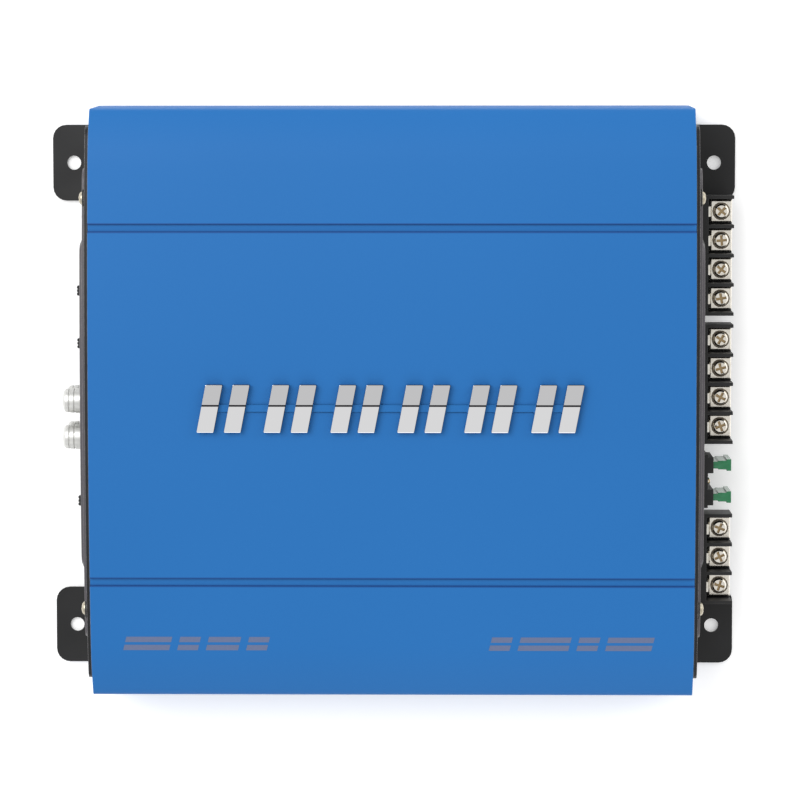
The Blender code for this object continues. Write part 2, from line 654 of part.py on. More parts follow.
def end_panel(name, side, add_openings):
    sheet = bmesh.new()
    sheet_outline = panel_outline(PANEL_WIDTH, PANEL_DROP, PANEL_FOOT_CLEARANCE, PANEL_CORNER)
    del sheet_outline[:2 * CORNER_STEPS + 2]
    half = PANEL_WIDTH / 2
    foot_inner = half - FOOT_LENGTH
    notch_top = BEND_RADIUS + PANEL_THICKNESS
    lower = [(-half, notch_top), (-foot_inner, notch_top), (-foot_inner, PANEL_FOOT_CLEARANCE)]
    lower += [(foot_inner, PANEL_FOOT_CLEARANCE), (foot_inner, notch_top), (half, notch_top)]
    add_prism(sheet, lower + sheet_outline, "X", side * SHEET_X, side * (SHEET_X + PANEL_THICKNESS))
    panel = make_piece(name, "black_coat", sheet)
    holes = bmesh.new()
    dimples = bmesh.new()
    hollows = bmesh.new()
    hollow_radius = PANEL_HEAD_RADIUS + DIMPLE_CLEARANCE
    for y_sign in (-1, 1):
        foot_hole = cylinder(FOOT_HOLE_RADIUS, -PANEL_THICKNESS, 2 * PANEL_THICKNESS)
        add_turned(holes, foot_hole, add_foot(panel, side, y_sign), FINE_SIDES)
        screw_frame = sideways(0, y_sign * PANEL_SCREW_Y, panel_screw_z(), side)
        add_turned(holes, cylinder(PANEL_SCREW_RADIUS + GAP, HALF_LENGTH, BAND_X), screw_frame, SMALL_SIDES)
        dimple = cylinder(hollow_radius + DIMPLE_WALL, SHEET_X, ZONE_X - DIMPLE_SINK)
        add_turned(dimples, dimple, screw_frame, FINE_SIDES)
        hollow = cylinder(hollow_radius, SHEET_X + PANEL_THICKNESS, BAND_X)
        add_turned(hollows, hollow, screw_frame, FINE_SIDES)
    zone = (side, ZONE_WIDTH, ZONE_DROP, ZONE_FLOOR_Z, ZONE_SLOPE)
    band = (side, BAND_WIDTH, BAND_DROP, BAND_FLOOR_Z, BAND_SLOPE)
    sheet_middle = SHEET_X + PANEL_THICKNESS / 2
    for level, outer_x in ((zone, ZONE_X), (band, BAND_X)):
        raised = bmesh.new()
        add_raised_level(raised, *level, sheet_middle, outer_x, 0)
        join(panel, raised)
    for level, outer_x in ((zone, ZONE_X), (band, BAND_X)):
        hollow = bmesh.new()
        add_raised_level(hollow, *level, SHEET_X - GAP, outer_x - PANEL_THICKNESS, PANEL_THICKNESS)
        cut(panel, hollow)
    join(panel, dimples)
    cut(panel, hollows)
    add_openings(holes)
    cut(panel, holes)


def output_openings(bm):
    """Cut-outs for the terminal blocks and the fuse holder."""
    for block in TERMINAL_BLOCKS:
        half = block["poles"] * TERMINAL_PITCH / 2 + BARRIER_WALL / 2 + GAP
        low = (HALF_LENGTH, block["y"] - half, SEAT_Z - GAP)
        add_box(bm, low, (POCKET_X, block["y"] + half, SEAT_Z + BARRIER_HEIGHT + GAP))
    low_y, high_y = holder_span()
    low = (HALF_LENGTH, low_y - GAP, SEAT_Z - GAP)
    add_box(bm, low, (POCKET_X, high_y + GAP, FUSE_Z + TOWER_HEIGHT / 2 + GAP))


def input_openings(bm):
    """Round holes for jacks, adjusters and the indicator, and slots for the switch knobs."""
    places = [(SHELL_RADIUS, y, z, FINE_SIDES) for y in JACK_Y for z in JACK_Z]
    places += [(ADJUSTER_RADIUS, y, CONTROL_ROW_Z, ROUND_SIDES) for y in ADJUSTER_Y]
    places.append((LAMP_RADIUS, LAMP_Y, CONTROL_ROW_Z, SMALL_SIDES))
    for radius, y, z, sides in places:
        add_turned(bm, cylinder(radius + GAP, HALF_LENGTH, POCKET_X), sideways(0, y, z, -1), sides)
    for y in SWITCH_Y:
        half_y = KNOB_LENGTH / 2 + SWITCH_TRAVEL + GAP
        half_z = KNOB_HEIGHT / 2 + GAP
        low = (-HALF_LENGTH, y - half_y, CONTROL_ROW_Z - half_z)
        add_box(bm, low, (-POCKET_X, y + half_y, CONTROL_ROW_Z + half_z))


def panel_screws():
    """Round-headed cross-recess screws through the end panels into the cover's channels."""
    profile = [(0, -PANEL_SCREW_LENGTH), (PANEL_SCREW_RADIUS, -PANEL_SCREW_LENGTH)]
    profile += [(PANEL_SCREW_RADIUS, GAP), (PANEL_HEAD_RADIUS, GAP)]
    rise = PANEL_HEAD_HEIGHT / 2
    dome = arc((0, 0), 1, 0, 90, 4)[:-1]
    profile += [(PANEL_HEAD_RADIUS * across, rise + rise * up) for across, up in dome]
    profile.append((0, PANEL_HEAD_HEIGHT))
    number = 0
    for side in (-1, 1):
        for y_sign in (-1, 1):
            number += 1
            bm = bmesh.new()
            add_turned(bm, profile, upright(0, 0, 0), ROUND_SIDES)
            screw = make_piece(f"panel_screw_{number}", "nickel", bm)
            recess = bmesh.new()
            add_cross(recess, PANEL_RECESS, PANEL_HEAD_HEIGHT, 1)
            cut(screw, recess)
            freeze(screw)
            turn = Matrix.Rotation(number * 0.6, 4, "Z")
            seat = side * (SHEET_X + PANEL_THICKNESS)
            screw.matrix_world = sideways(seat, y_sign * PANEL_SCREW_Y, panel_screw_z(), side) @ turn


# ---------------------------------------------------------------- terminals

TERMINAL_BLOCKS = (
    {"name": "speaker_terminal_block_a", "key": "a", "y": SPEAKER_BLOCK_A_Y, "poles": 4},
    {"name": "speaker_terminal_block_b", "key": "b", "y": SPEAKER_BLOCK_B_Y, "poles": 4},
    {"name": "power_terminal_block", "key": "p", "y": POWER_BLOCK_Y, "poles": 3},
)


def pole_places(block):
    """Y of each pole, from the +Y end."""
    first = block["y"] + (block["poles"] - 1) * TERMINAL_PITCH / 2
    return [first - index * TERMINAL_PITCH for index in range(block["poles"])]


def terminal_block(block):
    half = (block["poles"] * TERMINAL_PITCH + BARRIER_WALL) / 2
    low = (BLOCK_INNER_X, block["y"] - half, SEAT_Z)
    high = (BLOCK_OUTER_X, block["y"] + half, SEAT_Z + BARRIER_HEIGHT)
    body = bmesh.new()
    add_box(body, low, high)
    piece = make_piece(block["name"], "black_plastic", body)
    floor_z = SEAT_Z + POCKET_FLOOR
    half_pocket = (TERMINAL_PITCH - BARRIER_WALL) / 2
    pockets = bmesh.new()
    contacts = bmesh.new()
    holes = bmesh.new()
    hole = cylinder(SCREW_RADIUS + GAP, SCREW_HOLE_FLOOR, BARRIER_HEIGHT)
    for y in pole_places(block):
        open_end = (BLOCK_OUTER_X + GAP, y + half_pocket, high[2] + GAP)
        add_box(pockets, (POCKET_X, y - half_pocket, floor_z), open_end)
        add_prism(contacts, contact_outline(floor_z), "Y", y - CONTACT_WIDTH / 2, y + CONTACT_WIDTH / 2)
        add_turned(holes, hole, upright(CLAMP_X, y, SEAT_Z), ROUND_SIDES)
    cut(piece, pockets)
    join(piece, contacts)
    tabs = bmesh.new()
    for y in pole_places(block):
        tab_low = (POCKET_X - TAB_THICKNESS / 2, y - TAB_WIDTH / 2, floor_z - TAB_THICKNESS / 2)
        add_box(tabs, tab_low, (POCKET_X + TAB_THICKNESS, y + TAB_WIDTH / 2, floor_z + TAB_HEIGHT))
    join(piece, tabs)
    cut(piece, holes)


def contact_outline(floor_z):
    """Flat contact bar on the pocket's floor, sunk into it by half its thickness."""
    low_z = floor_z - CONTACT_THICKNESS / 2
    high_z = floor_z + CONTACT_THICKNESS
    far = BLOCK_OUTER_X - GAP
    return [(POCKET_X + GAP, low_z), (far, low_z), (far, high_z), (POCKET_X + GAP, high_z)]


def clamp_mesh():
    """Square wire clamp with a round recess and a screw hole; origin at its underside."""
    half_x = CLAMP_LENGTH / 2
    half_y = CLAMP_WIDTH / 2
    wide = [(-half_x, -half_y), (half_x, -half_y), (half_x, half_y), (-half_x, half_y)]
    narrow_x = half_x - CLAMP_CHAMFER
    narrow_y = half_y - CLAMP_CHAMFER
    narrow = [(-narrow_x, -narrow_y), (narrow_x, -narrow_y), (narrow_x, narrow_y), (-narrow_x, narrow_y)]
    bm = bmesh.new()
    rim_z = CLAMP_THICKNESS - CLAMP_CHAMFER
    rings = [[bm.verts.new((x, y, z)) for x, y in outline] for outline, z in
             ((wide, 0), (wide, rim_z), (narrow, CLAMP_THICKNESS))]
    bm.faces.new(rings[0])
    bm.faces.new(rings[2])
    for lower, upper in zip(rings, rings[1:]):
        for index in range(4):
            after = (index + 1) % 4
            bm.faces.new((lower[index], lower[after], upper[after], upper[index]))
    clamp = make_piece("clamp", "nickel", bm)
    bore = bmesh.new()
    recess_z = CLAMP_THICKNESS - CLAMP_RECESS
    shaft = SCREW_RADIUS + GAP
    profile = [(0, -GAP), (shaft, -GAP), (shaft, recess_z), (CLAMP_RECESS_RADIUS, recess_z)]
    profile += [(CLAMP_RECESS_RADIUS, 2 * CLAMP_THICKNESS), (0, 2 * CLAMP_THICKNESS)]
    add_turned(bore, profile, upright(0, 0, 0), SMALL_SIDES)
    cut(clamp, bore)
    mesh = freeze(clamp)
    bpy.data.objects.remove(clamp)
    return mesh


def clamp_screw_mesh():
    """Cross-recess clamp screw; origin on its axis under its head."""
    profile = [(0, -SCREW_LENGTH), (SCREW_RADIUS, -SCREW_LENGTH), (SCREW_RADIUS, 0)]
    profile += [(SCREW_HEAD_RADIUS, 0), (SCREW_HEAD_RADIUS, SCREW_HEAD_SIDE)]
    profile += [(SCREW_TOP_RADIUS, SCREW_HEAD_HEIGHT), (0, SCREW_HEAD_HEIGHT)]
    bm = bmesh.new()
    add_turned(bm, profile, upright(0, 0, 0), SMALL_SIDES)
    screw = make_piece("clamp_screw", "nickel", bm)
    recess = bmesh.new()
    add_cross(recess, SCREW_RECESS, SCREW_HEAD_HEIGHT, 1)
    cut(screw, recess)
    mesh = freeze(screw)
    bpy.data.objects.remove(screw)
    return mesh


def terminals():
    clamp = clamp_mesh()
    screw = clamp_screw_mesh()
    clamp_z = SEAT_Z + POCKET_FLOOR + CONTACT_THICKNESS + GAP
    head_z = CLAMP_THICKNESS - CLAMP_RECESS + GAP
    turn = 0.0
    for block in TERMINAL_BLOCKS:
        terminal_block(block)
        for number, y in enumerate(pole_places(block), 1):
            name = f"{block['key']}{number}"
            holder = place_copy(f"wire_clamp_{name}", clamp, (CLAMP_X, y, clamp_z))
            turn += SCREW_TURN
            place_copy(f"clamp_screw_{name}", screw, (0, 0, head_z), turn, holder)


# ---------------------------------------------------------------- fuses

def holder_span():
    """Lowest and highest Y of the fuse holder."""
    reach = TOWER_WIDTH / 2 + HOLDER_MARGIN
    return min(FUSE_Y) - reach, max(FUSE_Y) + reach


def blade_offset():
    return (FUSE_HEIGHT - BLADE_WIDTH) / 2


def fuse_holder():
    low_y, high_y = holder_span()
    top = FUSE_Z + TOWER_HEIGHT / 2
    base = bmesh.new()
    add_box(base, (HOLDER_INNER_X, low_y, SEAT_Z), (HOLDER_FACE_X, high_y, top))
    holder = make_piece("fuse_holder", "black_plastic", base)
    towers = bmesh.new()
    pockets = bmesh.new()
    slots = bmesh.new()
    body_x = FUSE_OUTER_X - FUSE_BODY_LENGTH - GAP
    for y in FUSE_Y:
        half = TOWER_WIDTH / 2
        tower_low = (HOLDER_FACE_X - HOLDER_MARGIN, y - half, FUSE_Z - TOWER_HEIGHT / 2)
        add_box(towers, tower_low, (TOWER_OUTER_X, y + half, top))
        half = FUSE_BODY_THICKNESS / 2 + GAP
        rise = FUSE_HEIGHT / 2 + GAP
        add_box(pockets, (body_x, y - half, FUSE_Z - rise), (TOWER_OUTER_X + GAP, y + half, FUSE_Z + rise))
        half = BLADE_THICKNESS / 2 + GAP
        for sign in (-1, 1):
            low_z = FUSE_Z + sign * blade_offset() - BLADE_WIDTH / 2 - GAP
            high_z = low_z + BLADE_WIDTH + 2 * GAP
            slot_x = body_x - BLADE_LENGTH - GAP
            add_box(slots, (slot_x, y - half, low_z), (body_x + GAP, y + half, high_z))
    join(holder, towers)
    cut(holder, pockets)
    cut(holder, slots)


def fuses():
    """Blade fuses with a stepped body; origin at the middle of the outer end."""
    head = -FUSE_HEAD_LENGTH
    shoulder = head - FUSE_SHOULDER_LENGTH
    root = -FUSE_BODY_LENGTH
    halves = (FUSE_BODY_THICKNESS / 2, FUSE_SHOULDER_THICKNESS / 2, FUSE_HEAD_THICKNESS / 2)
    right = [(root, halves[0]), (shoulder, halves[0]), (shoulder, halves[1])]
    right += [(head, halves[1]), (head, halves[2]), (0, halves[2])]
    outline = right + [(x, -y) for x, y in reversed(right)]
    body = bmesh.new()
    add_prism(body, outline, "Z", -FUSE_HEIGHT / 2, FUSE_HEIGHT / 2)
    first = make_piece("fuse_1", "green_plastic", body)
    blades = bmesh.new()
    half = BLADE_THICKNESS / 2
    for sign in (-1, 1):
        low_z = sign * blade_offset() - BLADE_WIDTH / 2 + GAP
        low = (root - BLADE_LENGTH, -half, low_z)
        add_box(blades, low, (root + BLADE_ROOT, half, low_z + BLADE_WIDTH - 2 * GAP))
    join(first, blades)
    mesh = freeze(first)
    first.location = (FUSE_OUTER_X, FUSE_Y[0], FUSE_Z)
    place_copy("fuse_2", mesh, (FUSE_OUTER_X, FUSE_Y[1], FUSE_Z))


# ---------------------------------------------------------------- input side

def rca_jack_block():
    low = (-JACK_FACE_X, min(JACK_Y) - JACK_MARGIN, SEAT_Z)
    high = (-JACK_INNER_X, max(JACK_Y) + JACK_MARGIN, max(JACK_Z) + JACK_MARGIN)
    body = bmesh.new()
    add_box(body, low, high)
    block = make_piece("rca_jack_block", "black_plastic", body)
    posts = bmesh.new()
    holes = bmesh.new()
    tip = JACK_REACH - JACK_POST_INSET
    root = (JACK_INNER_X + JACK_FACE_X) / 2
    for y in JACK_Y:
        for z in JACK_Z:
            frame = sideways(0, y, z, -1)
            add_turned(posts, cylinder(SHELL_BORE - GAP, root, tip), frame, ROUND_SIDES)
            hole = cylinder(JACK_HOLE_RADIUS, tip - JACK_HOLE_DEPTH, tip + GAP)
            add_turned(holes, hole, frame, SMALL_SIDES)
    join(block, posts)
    cut(block, holes)


def rca_shells():
    """Ringed metal barrels around the jack posts; origin on the axis at the barrel's root."""
    length = JACK_REACH - JACK_FACE_X - GAP
    wide = SHELL_RADIUS
    ring = [(wide, 0)]
    for distance in SHELL_GROOVES:
        start = length - distance
        floor = wide - SHELL_GROOVE_DEPTH
        ring += [(wide, start), (floor, start + SHELL_SLOPE), (floor, start + SHELL_GROOVE_WIDTH)]
        wide -= SHELL_SLOPE
        ring.append((wide, start + SHELL_GROOVE_WIDTH + SHELL_SLOPE))
    ring += [(wide - SHELL_SLOPE, length - SHELL_TIP_LENGTH), (SHELL_TIP_RADIUS, length)]
    ring += [(SHELL_BORE, length), (SHELL_BORE, 0)]
    for row, z in (("lower", JACK_Z[0]), ("upper", JACK_Z[1])):
        for number, y in enumerate(JACK_Y, 1):
            bm = bmesh.new()
            add_turned(bm, ring, Matrix.Rotation(-math.pi / 2, 4, "Y"), ROUND_SIDES, closed=True)
            shell = make_piece(f"rca_shell_{row}_{number}", "silver", bm)
            shell.location = (-JACK_FACE_X - GAP, y, z)


def control_board():
    """Upright board with the switch and adjuster housings and the indicator's spacer soldered to it."""
    bm = bmesh.new()
    inner = -CONTROL_X
    face = inner - CONTROL_THICKNESS
    add_box(bm, (face, CONTROL_Y[0], SEAT_Z), (inner, CONTROL_Y[1], CONTROL_TOP_Z))
    board = make_piece("control_board", "board_green", bm)
    housings = bmesh.new()
    holes = bmesh.new()
    root = face + CONTROL_THICKNESS / 2
    half_y = KNOB_LENGTH / 2 + KNOB_FLANGE + SWITCH_TRAVEL + GAP
    half_z = KNOB_HEIGHT / 2 + KNOB_FLANGE + GAP
    slot_y = KNOB_LENGTH / 2 + SWITCH_TRAVEL + GAP
    slot_z = KNOB_HEIGHT / 2 + GAP
    cavity_x = SWITCH_FACE_X - SWITCH_WALL
    cavity_back = cavity_x - KNOB_FLANGE_THICKNESS - 2 * GAP
    z = CONTROL_ROW_Z
    for y in SWITCH_Y:
        shell_y = half_y + SWITCH_WALL
        shell_z = half_z + SWITCH_WALL
        add_box(housings, (-SWITCH_FACE_X, y - shell_y, z - shell_z), (root, y + shell_y, z + shell_z))
        add_box(holes, (-cavity_x, y - half_y, z - half_z), (-cavity_back, y + half_y, z + half_z))
    for y in ADJUSTER_Y:
        half = HOUSING_SIZE / 2
        add_box(housings, (-ADJUSTER_FACE_X, y - half, z - half), (root, y + half, z + half))
        bore = cylinder(ADJUSTER_STEM_RADIUS + GAP, ADJUSTER_FACE_X - ADJUSTER_STEM_LENGTH - GAP, BAND_X)
        add_turned(holes, bore, sideways(0, y, z, -1), SMALL_SIDES)
    half = LAMP_RADIUS + LAMP_FLANGE
    spacer_face = -(LAMP_FACE_X - GAP)
    add_box(housings, (spacer_face, LAMP_Y - half, z - half), (root, LAMP_Y + half, z + half))
    join(board, housings)
    cut(board, holes)
    mouths = bmesh.new()
    for y in SWITCH_Y:
        low = (-SWITCH_FACE_X - GAP, y - slot_y, z - slot_z)
        add_box(mouths, low, (-cavity_x + GAP, y + slot_y, z + slot_z))
    cut(board, mouths)


def switch_knobs():
    """Slide-switch actuators; origin at the middle of the flange that stays in the housing."""
    flange_x = SWITCH_FACE_X - SWITCH_WALL - GAP
    reach = KNOB_REACH - flange_x
    half_y = KNOB_LENGTH / 2
    half_z = KNOB_HEIGHT / 2
    valley = KNOB_RIB_HEIGHT - reach
    stem = [(KNOB_FLANGE_THICKNESS / 2, -half_y), (valley, -half_y)]
    pitch = KNOB_LENGTH / KNOB_RIBS
    for rib in range(KNOB_RIBS):
        start = -half_y + rib * pitch
        stem += [(-reach, start + KNOB_RIB_SLOPE), (-reach, start + pitch - KNOB_RIB_SLOPE)]
        stem.append((valley, start + pitch))
    stem.append((KNOB_FLANGE_THICKNESS / 2, half_y))
    bm = bmesh.new()
    add_prism(bm, stem, "Z", -half_z, half_z)
    first = make_piece("switch_knob_1", "black_plastic", bm)
    flange = bmesh.new()
    low = (0, -half_y - KNOB_FLANGE, -half_z - KNOB_FLANGE)
    add_box(flange, low, (KNOB_FLANGE_THICKNESS, half_y + KNOB_FLANGE, half_z + KNOB_FLANGE))
    join(first, flange)
    mesh = freeze(first)
    first.location = (-flange_x, SWITCH_Y[0], CONTROL_ROW_Z)
    for number, y in enumerate(SWITCH_Y[1:], 2):
        place_copy(f"switch_knob_{number}", mesh, (-flange_x, y, CONTROL_ROW_Z))


def adjusters():
    """Slotted rotary adjusters, flush in the input panel; origin on the axis at the housing's face."""
    length = ADJUSTER_REACH - ADJUSTER_FACE_X
    profile = [(0, -ADJUSTER_STEM_LENGTH), (ADJUSTER_STEM_RADIUS, -ADJUSTER_STEM_LENGTH)]
    profile += [(ADJUSTER_STEM_RADIUS, GAP), (ADJUSTER_RADIUS, GAP)]
    profile += [(ADJUSTER_RADIUS, length - ADJUSTER_RIM), (ADJUSTER_RADIUS - ADJUSTER_RIM, length)]
    profile.append((0, length))
    outward = Matrix.Rotation(-math.pi / 2, 4, "Y")
    names = ("level_adjuster_front", "crossover_adjuster_front")
    names += ("level_adjuster_rear", "crossover_adjuster_rear")
    for name, y in zip(names, ADJUSTER_Y):
        bm = bmesh.new()
        add_turned(bm, profile, outward, ROUND_SIDES)
        adjuster = make_piece(name, "black_plastic", bm)
        slot = bmesh.new()
        half = ADJUSTER_SLOT_WIDTH / 2
        low = (-length - GAP, -half, -ADJUSTER_RADIUS - GAP)
        add_box(slot, low, (-length + ADJUSTER_SLOT_DEPTH, half, ADJUSTER_RADIUS + GAP))
        cut(adjuster, slot)
        adjuster.location = (-ADJUSTER_FACE_X, y, CONTROL_ROW_Z)


def power_lamp():
    """Small flanged indicator lamp with a domed tip."""
    length = LAMP_REACH - LAMP_FACE_X
    flange = LAMP_RADIUS + LAMP_FLANGE
    profile = [(0, 0), (flange, 0), (flange, LAMP_FLANGE_THICKNESS), (LAMP_RADIUS, LAMP_FLANGE_THICKNESS)]
    profile += arc((0, length - LAMP_RADIUS), LAMP_RADIUS, 0, 90, 4)[:-1] + [(0, length)]
    bm = bmesh.new()
    add_turned(bm, profile, Matrix.Rotation(-math.pi / 2, 4, "Y"), SMALL_SIDES)
    lamp = make_piece("power_lamp", "red_lens", bm)
    lamp.location = (-LAMP_FACE_X, LAMP_Y, CONTROL_ROW_Z)


# ---------------------------------------------------------------- on the circuit board

def transistor_places():
    return [TRANSISTOR_FIRST_X + index * TRANSISTOR_PITCH for index in range(TRANSISTOR_COUNT)]


def transistor_back_y():
    """Face of the transistors that presses on the cover's side wall."""
    return inner_wall_y(TRANSISTOR_Z + TRANSISTOR_HEIGHT) - GAP


def circuit_board():
    """Main board with its row of power transistors, whose legs are soldered to it."""
    half_y = board_edge_y()
    bm = bmesh.new()
    add_box(bm, (-BOARD_LENGTH / 2, -half_y, BOARD_Z), (BOARD_LENGTH / 2, half_y, BOARD_TOP))
    board = make_piece("circuit_board", "board_green", bm)
    legs = bmesh.new()
    bodies = bmesh.new()
    back = transistor_back_y()
    front = back - TRANSISTOR_THICKNESS
    half = TRANSISTOR_WIDTH / 2
    leg_top = TRANSISTOR_Z + LEG_THICKNESS
    for x in transistor_places():
        low = (x - LEG_WIDTH / 2, front - LEG_THICKNESS / 2, BOARD_TOP - BOARD_THICKNESS / 2)
        add_box(legs, low, (x + LEG_WIDTH / 2, front + LEG_THICKNESS / 2, leg_top))
        add_box(bodies, (x - half, front, TRANSISTOR_Z), (x + half, back, TRANSISTOR_Z + TRANSISTOR_HEIGHT))
    join(board, legs)
    join(board, bodies)


def transistor_clamp_bar():
    """Bar that presses the transistors to the cover's wall."""
    face = transistor_back_y() - TRANSISTOR_THICKNESS - GAP
    places = transistor_places()
    reach = TRANSISTOR_WIDTH / 2
    low_z = TRANSISTOR_Z + TRANSISTOR_HEIGHT / 2 - CLAMP_BAR_HEIGHT / 4
    outline = rounded_rectangle(
        (places[0] - reach, low_z), (places[-1] + reach, low_z + CLAMP_BAR_HEIGHT), CLAMP_BAR_HEIGHT / 3, 3)
    bm = bmesh.new()
    add_prism(bm, outline, "Y", face - CLAMP_BAR_THICKNESS, face)
    make_piece("transistor_clamp_bar", "steel", bm)


def transformer():
    """Ring-shaped power transformer, standing on the board."""
    middle = (TRANSFORMER_RADIUS + TRANSFORMER_BORE) / 2
    half_width = (TRANSFORMER_RADIUS - TRANSFORMER_BORE) / 2
    half_height = TRANSFORMER_HEIGHT / 2
    ring = []
    for step in range(TRANSFORMER_STEPS):
        angle = 2 * math.pi * (step + 0.5) / TRANSFORMER_STEPS
        across = math.copysign(abs(math.cos(angle)) ** TRANSFORMER_ROUNDNESS, math.cos(angle))
        rise = math.copysign(abs(math.sin(angle)) ** TRANSFORMER_ROUNDNESS, math.sin(angle))
        ring.append((middle + half_width * across, half_height + half_height * rise))
    bm = bmesh.new()
    add_turned(bm, ring, upright(*TRANSFORMER_PLACE, SEAT_Z), FINE_SIDES, closed=True)
    make_piece("power_transformer", "amber_winding", bm)


def capacitors():
    """Upright filter capacitors with a crimped sleeve."""
    radius = CAPACITOR_RADIUS
    rim = CAPACITOR_RIM
    crimp = CAPACITOR_CRIMP_Z
    profile = [(0, 0), (radius - rim, 0), (radius, rim), (radius, crimp - rim), (radius - rim, crimp)]
    profile.append((radius, crimp + rim))
    profile += [(radius, CAPACITOR_HEIGHT - rim), (radius - rim, CAPACITOR_HEIGHT), (0, CAPACITOR_HEIGHT)]
    for number, y in enumerate(CAPACITOR_Y, 1):
        bm = bmesh.new()
        add_turned(bm, profile, upright(CAPACITOR_X, y, SEAT_Z), ROUND_SIDES)
        make_piece(f"filter_capacitor_{number}", "black_sleeve", bm)


# ---------------------------------------------------------------- emblem

def emblem():
    """Pairs of slanted bars on a thin carrier strip, resting on the crown."""
    offset_x, offset_y = EMBLEM_OFFSET
    base_z = CASE_HEIGHT + GAP
    half = EMBLEM_WIDTH / 2
    pair_width = 2 * EMBLEM_BAR + EMBLEM_BAR_GAP + EMBLEM_SLANT
    pitch = (EMBLEM_LENGTH - pair_width) / (EMBLEM_PAIRS - 1)
    first_x = offset_x - EMBLEM_LENGTH / 2
    strip = bmesh.new()
    low = (first_x + EMBLEM_SLANT, offset_y - CARRIER_WIDTH / 2, base_z)
    high_x = first_x + EMBLEM_LENGTH - EMBLEM_SLANT
    high = (high_x, offset_y + CARRIER_WIDTH / 2, base_z + CARRIER_THICKNESS)
    add_box(strip, low, high)
    badge = make_piece("emblem", "chrome", strip)
    bars = bmesh.new()
    for pair in range(EMBLEM_PAIRS):
        for bar in range(2):
            x = first_x + pair * pitch + bar * (EMBLEM_BAR + EMBLEM_BAR_GAP)
            outline = [(x, offset_y - half), (x + EMBLEM_BAR, offset_y - half)]
            far = x + EMBLEM_SLANT
            outline += [(far + EMBLEM_BAR, offset_y + half), (far, offset_y + half)]
            add_prism(bars, outline, "Z", base_z, base_z + EMBLEM_HEIGHT)
    join(badge, bars)


def build():
    clear_scene()
    heatsink_cover()
    bottom_plate()
    bottom_screws()
    end_panel("output_end_panel", 1, output_openings)
    end_panel("input_end_panel", -1, input_openings)
    panel_screws()
    terminals()
    fuse_holder()
    fuses()
    rca_jack_block()
    rca_shells()
    control_board()
    switch_knobs()
    adjusters()
    power_lamp()
    circuit_board()
    transistor_clamp_bar()
    transformer()
    capacitors()
    emblem()


build()
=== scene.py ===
"""Looks of the car amplifier: finishes, contacts, printed marks, floor, light and camera.

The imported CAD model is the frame. Lengths are in metres, and the object's frame is the CAD's.
"""
import json
import math

import bmesh
import bpy
from mathutils import Matrix, Vector
from mathutils.bvhtree import BVHTree


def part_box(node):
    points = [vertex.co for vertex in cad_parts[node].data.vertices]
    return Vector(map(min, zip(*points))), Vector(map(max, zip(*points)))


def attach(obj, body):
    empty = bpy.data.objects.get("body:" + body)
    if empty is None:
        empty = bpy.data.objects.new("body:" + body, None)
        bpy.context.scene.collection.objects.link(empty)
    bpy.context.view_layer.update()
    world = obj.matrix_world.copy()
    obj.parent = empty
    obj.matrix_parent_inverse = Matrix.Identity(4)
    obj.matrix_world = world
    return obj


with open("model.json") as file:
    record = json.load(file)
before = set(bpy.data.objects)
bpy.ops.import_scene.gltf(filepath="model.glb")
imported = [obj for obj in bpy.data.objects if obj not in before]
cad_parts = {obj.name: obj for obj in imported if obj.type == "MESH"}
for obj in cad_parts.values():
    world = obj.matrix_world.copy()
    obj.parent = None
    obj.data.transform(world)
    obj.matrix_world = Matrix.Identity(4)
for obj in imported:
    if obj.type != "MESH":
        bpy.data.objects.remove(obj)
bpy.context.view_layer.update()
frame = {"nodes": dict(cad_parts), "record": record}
nodes = frame["nodes"]

MM = 0.001
BODY = "amplifier"
POLES = sorted(name for name in nodes if name.startswith("wire_clamp_"))
SCREWS = sorted(name for name in nodes if name.startswith("clamp_screw_"))
SHELLS = sorted(name for name in nodes if name.startswith("rca_shell_"))


def middle(name):
    """Middle of a CAD node's box."""
    low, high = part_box(name)
    return (low + high) / 2


# ---------------------------------------------------------------- camera

camera_data = bpy.data.cameras.new("camera")
camera_data.lens = 144.55
camera_data.sensor_width = 36
camera_data.shift_y = -0.11
camera_data.clip_start = 0.05
camera_data.clip_end = 20
camera = bpy.data.objects.new("camera", camera_data)
camera.location = (0.0244, 0.1356, 1.4328)
camera.rotation_euler = (math.radians(-3.935), math.radians(0.862), math.radians(-0.031))
bpy.context.scene.collection.objects.link(camera)
bpy.context.scene.camera = camera


# ---------------------------------------------------------------- shader tools

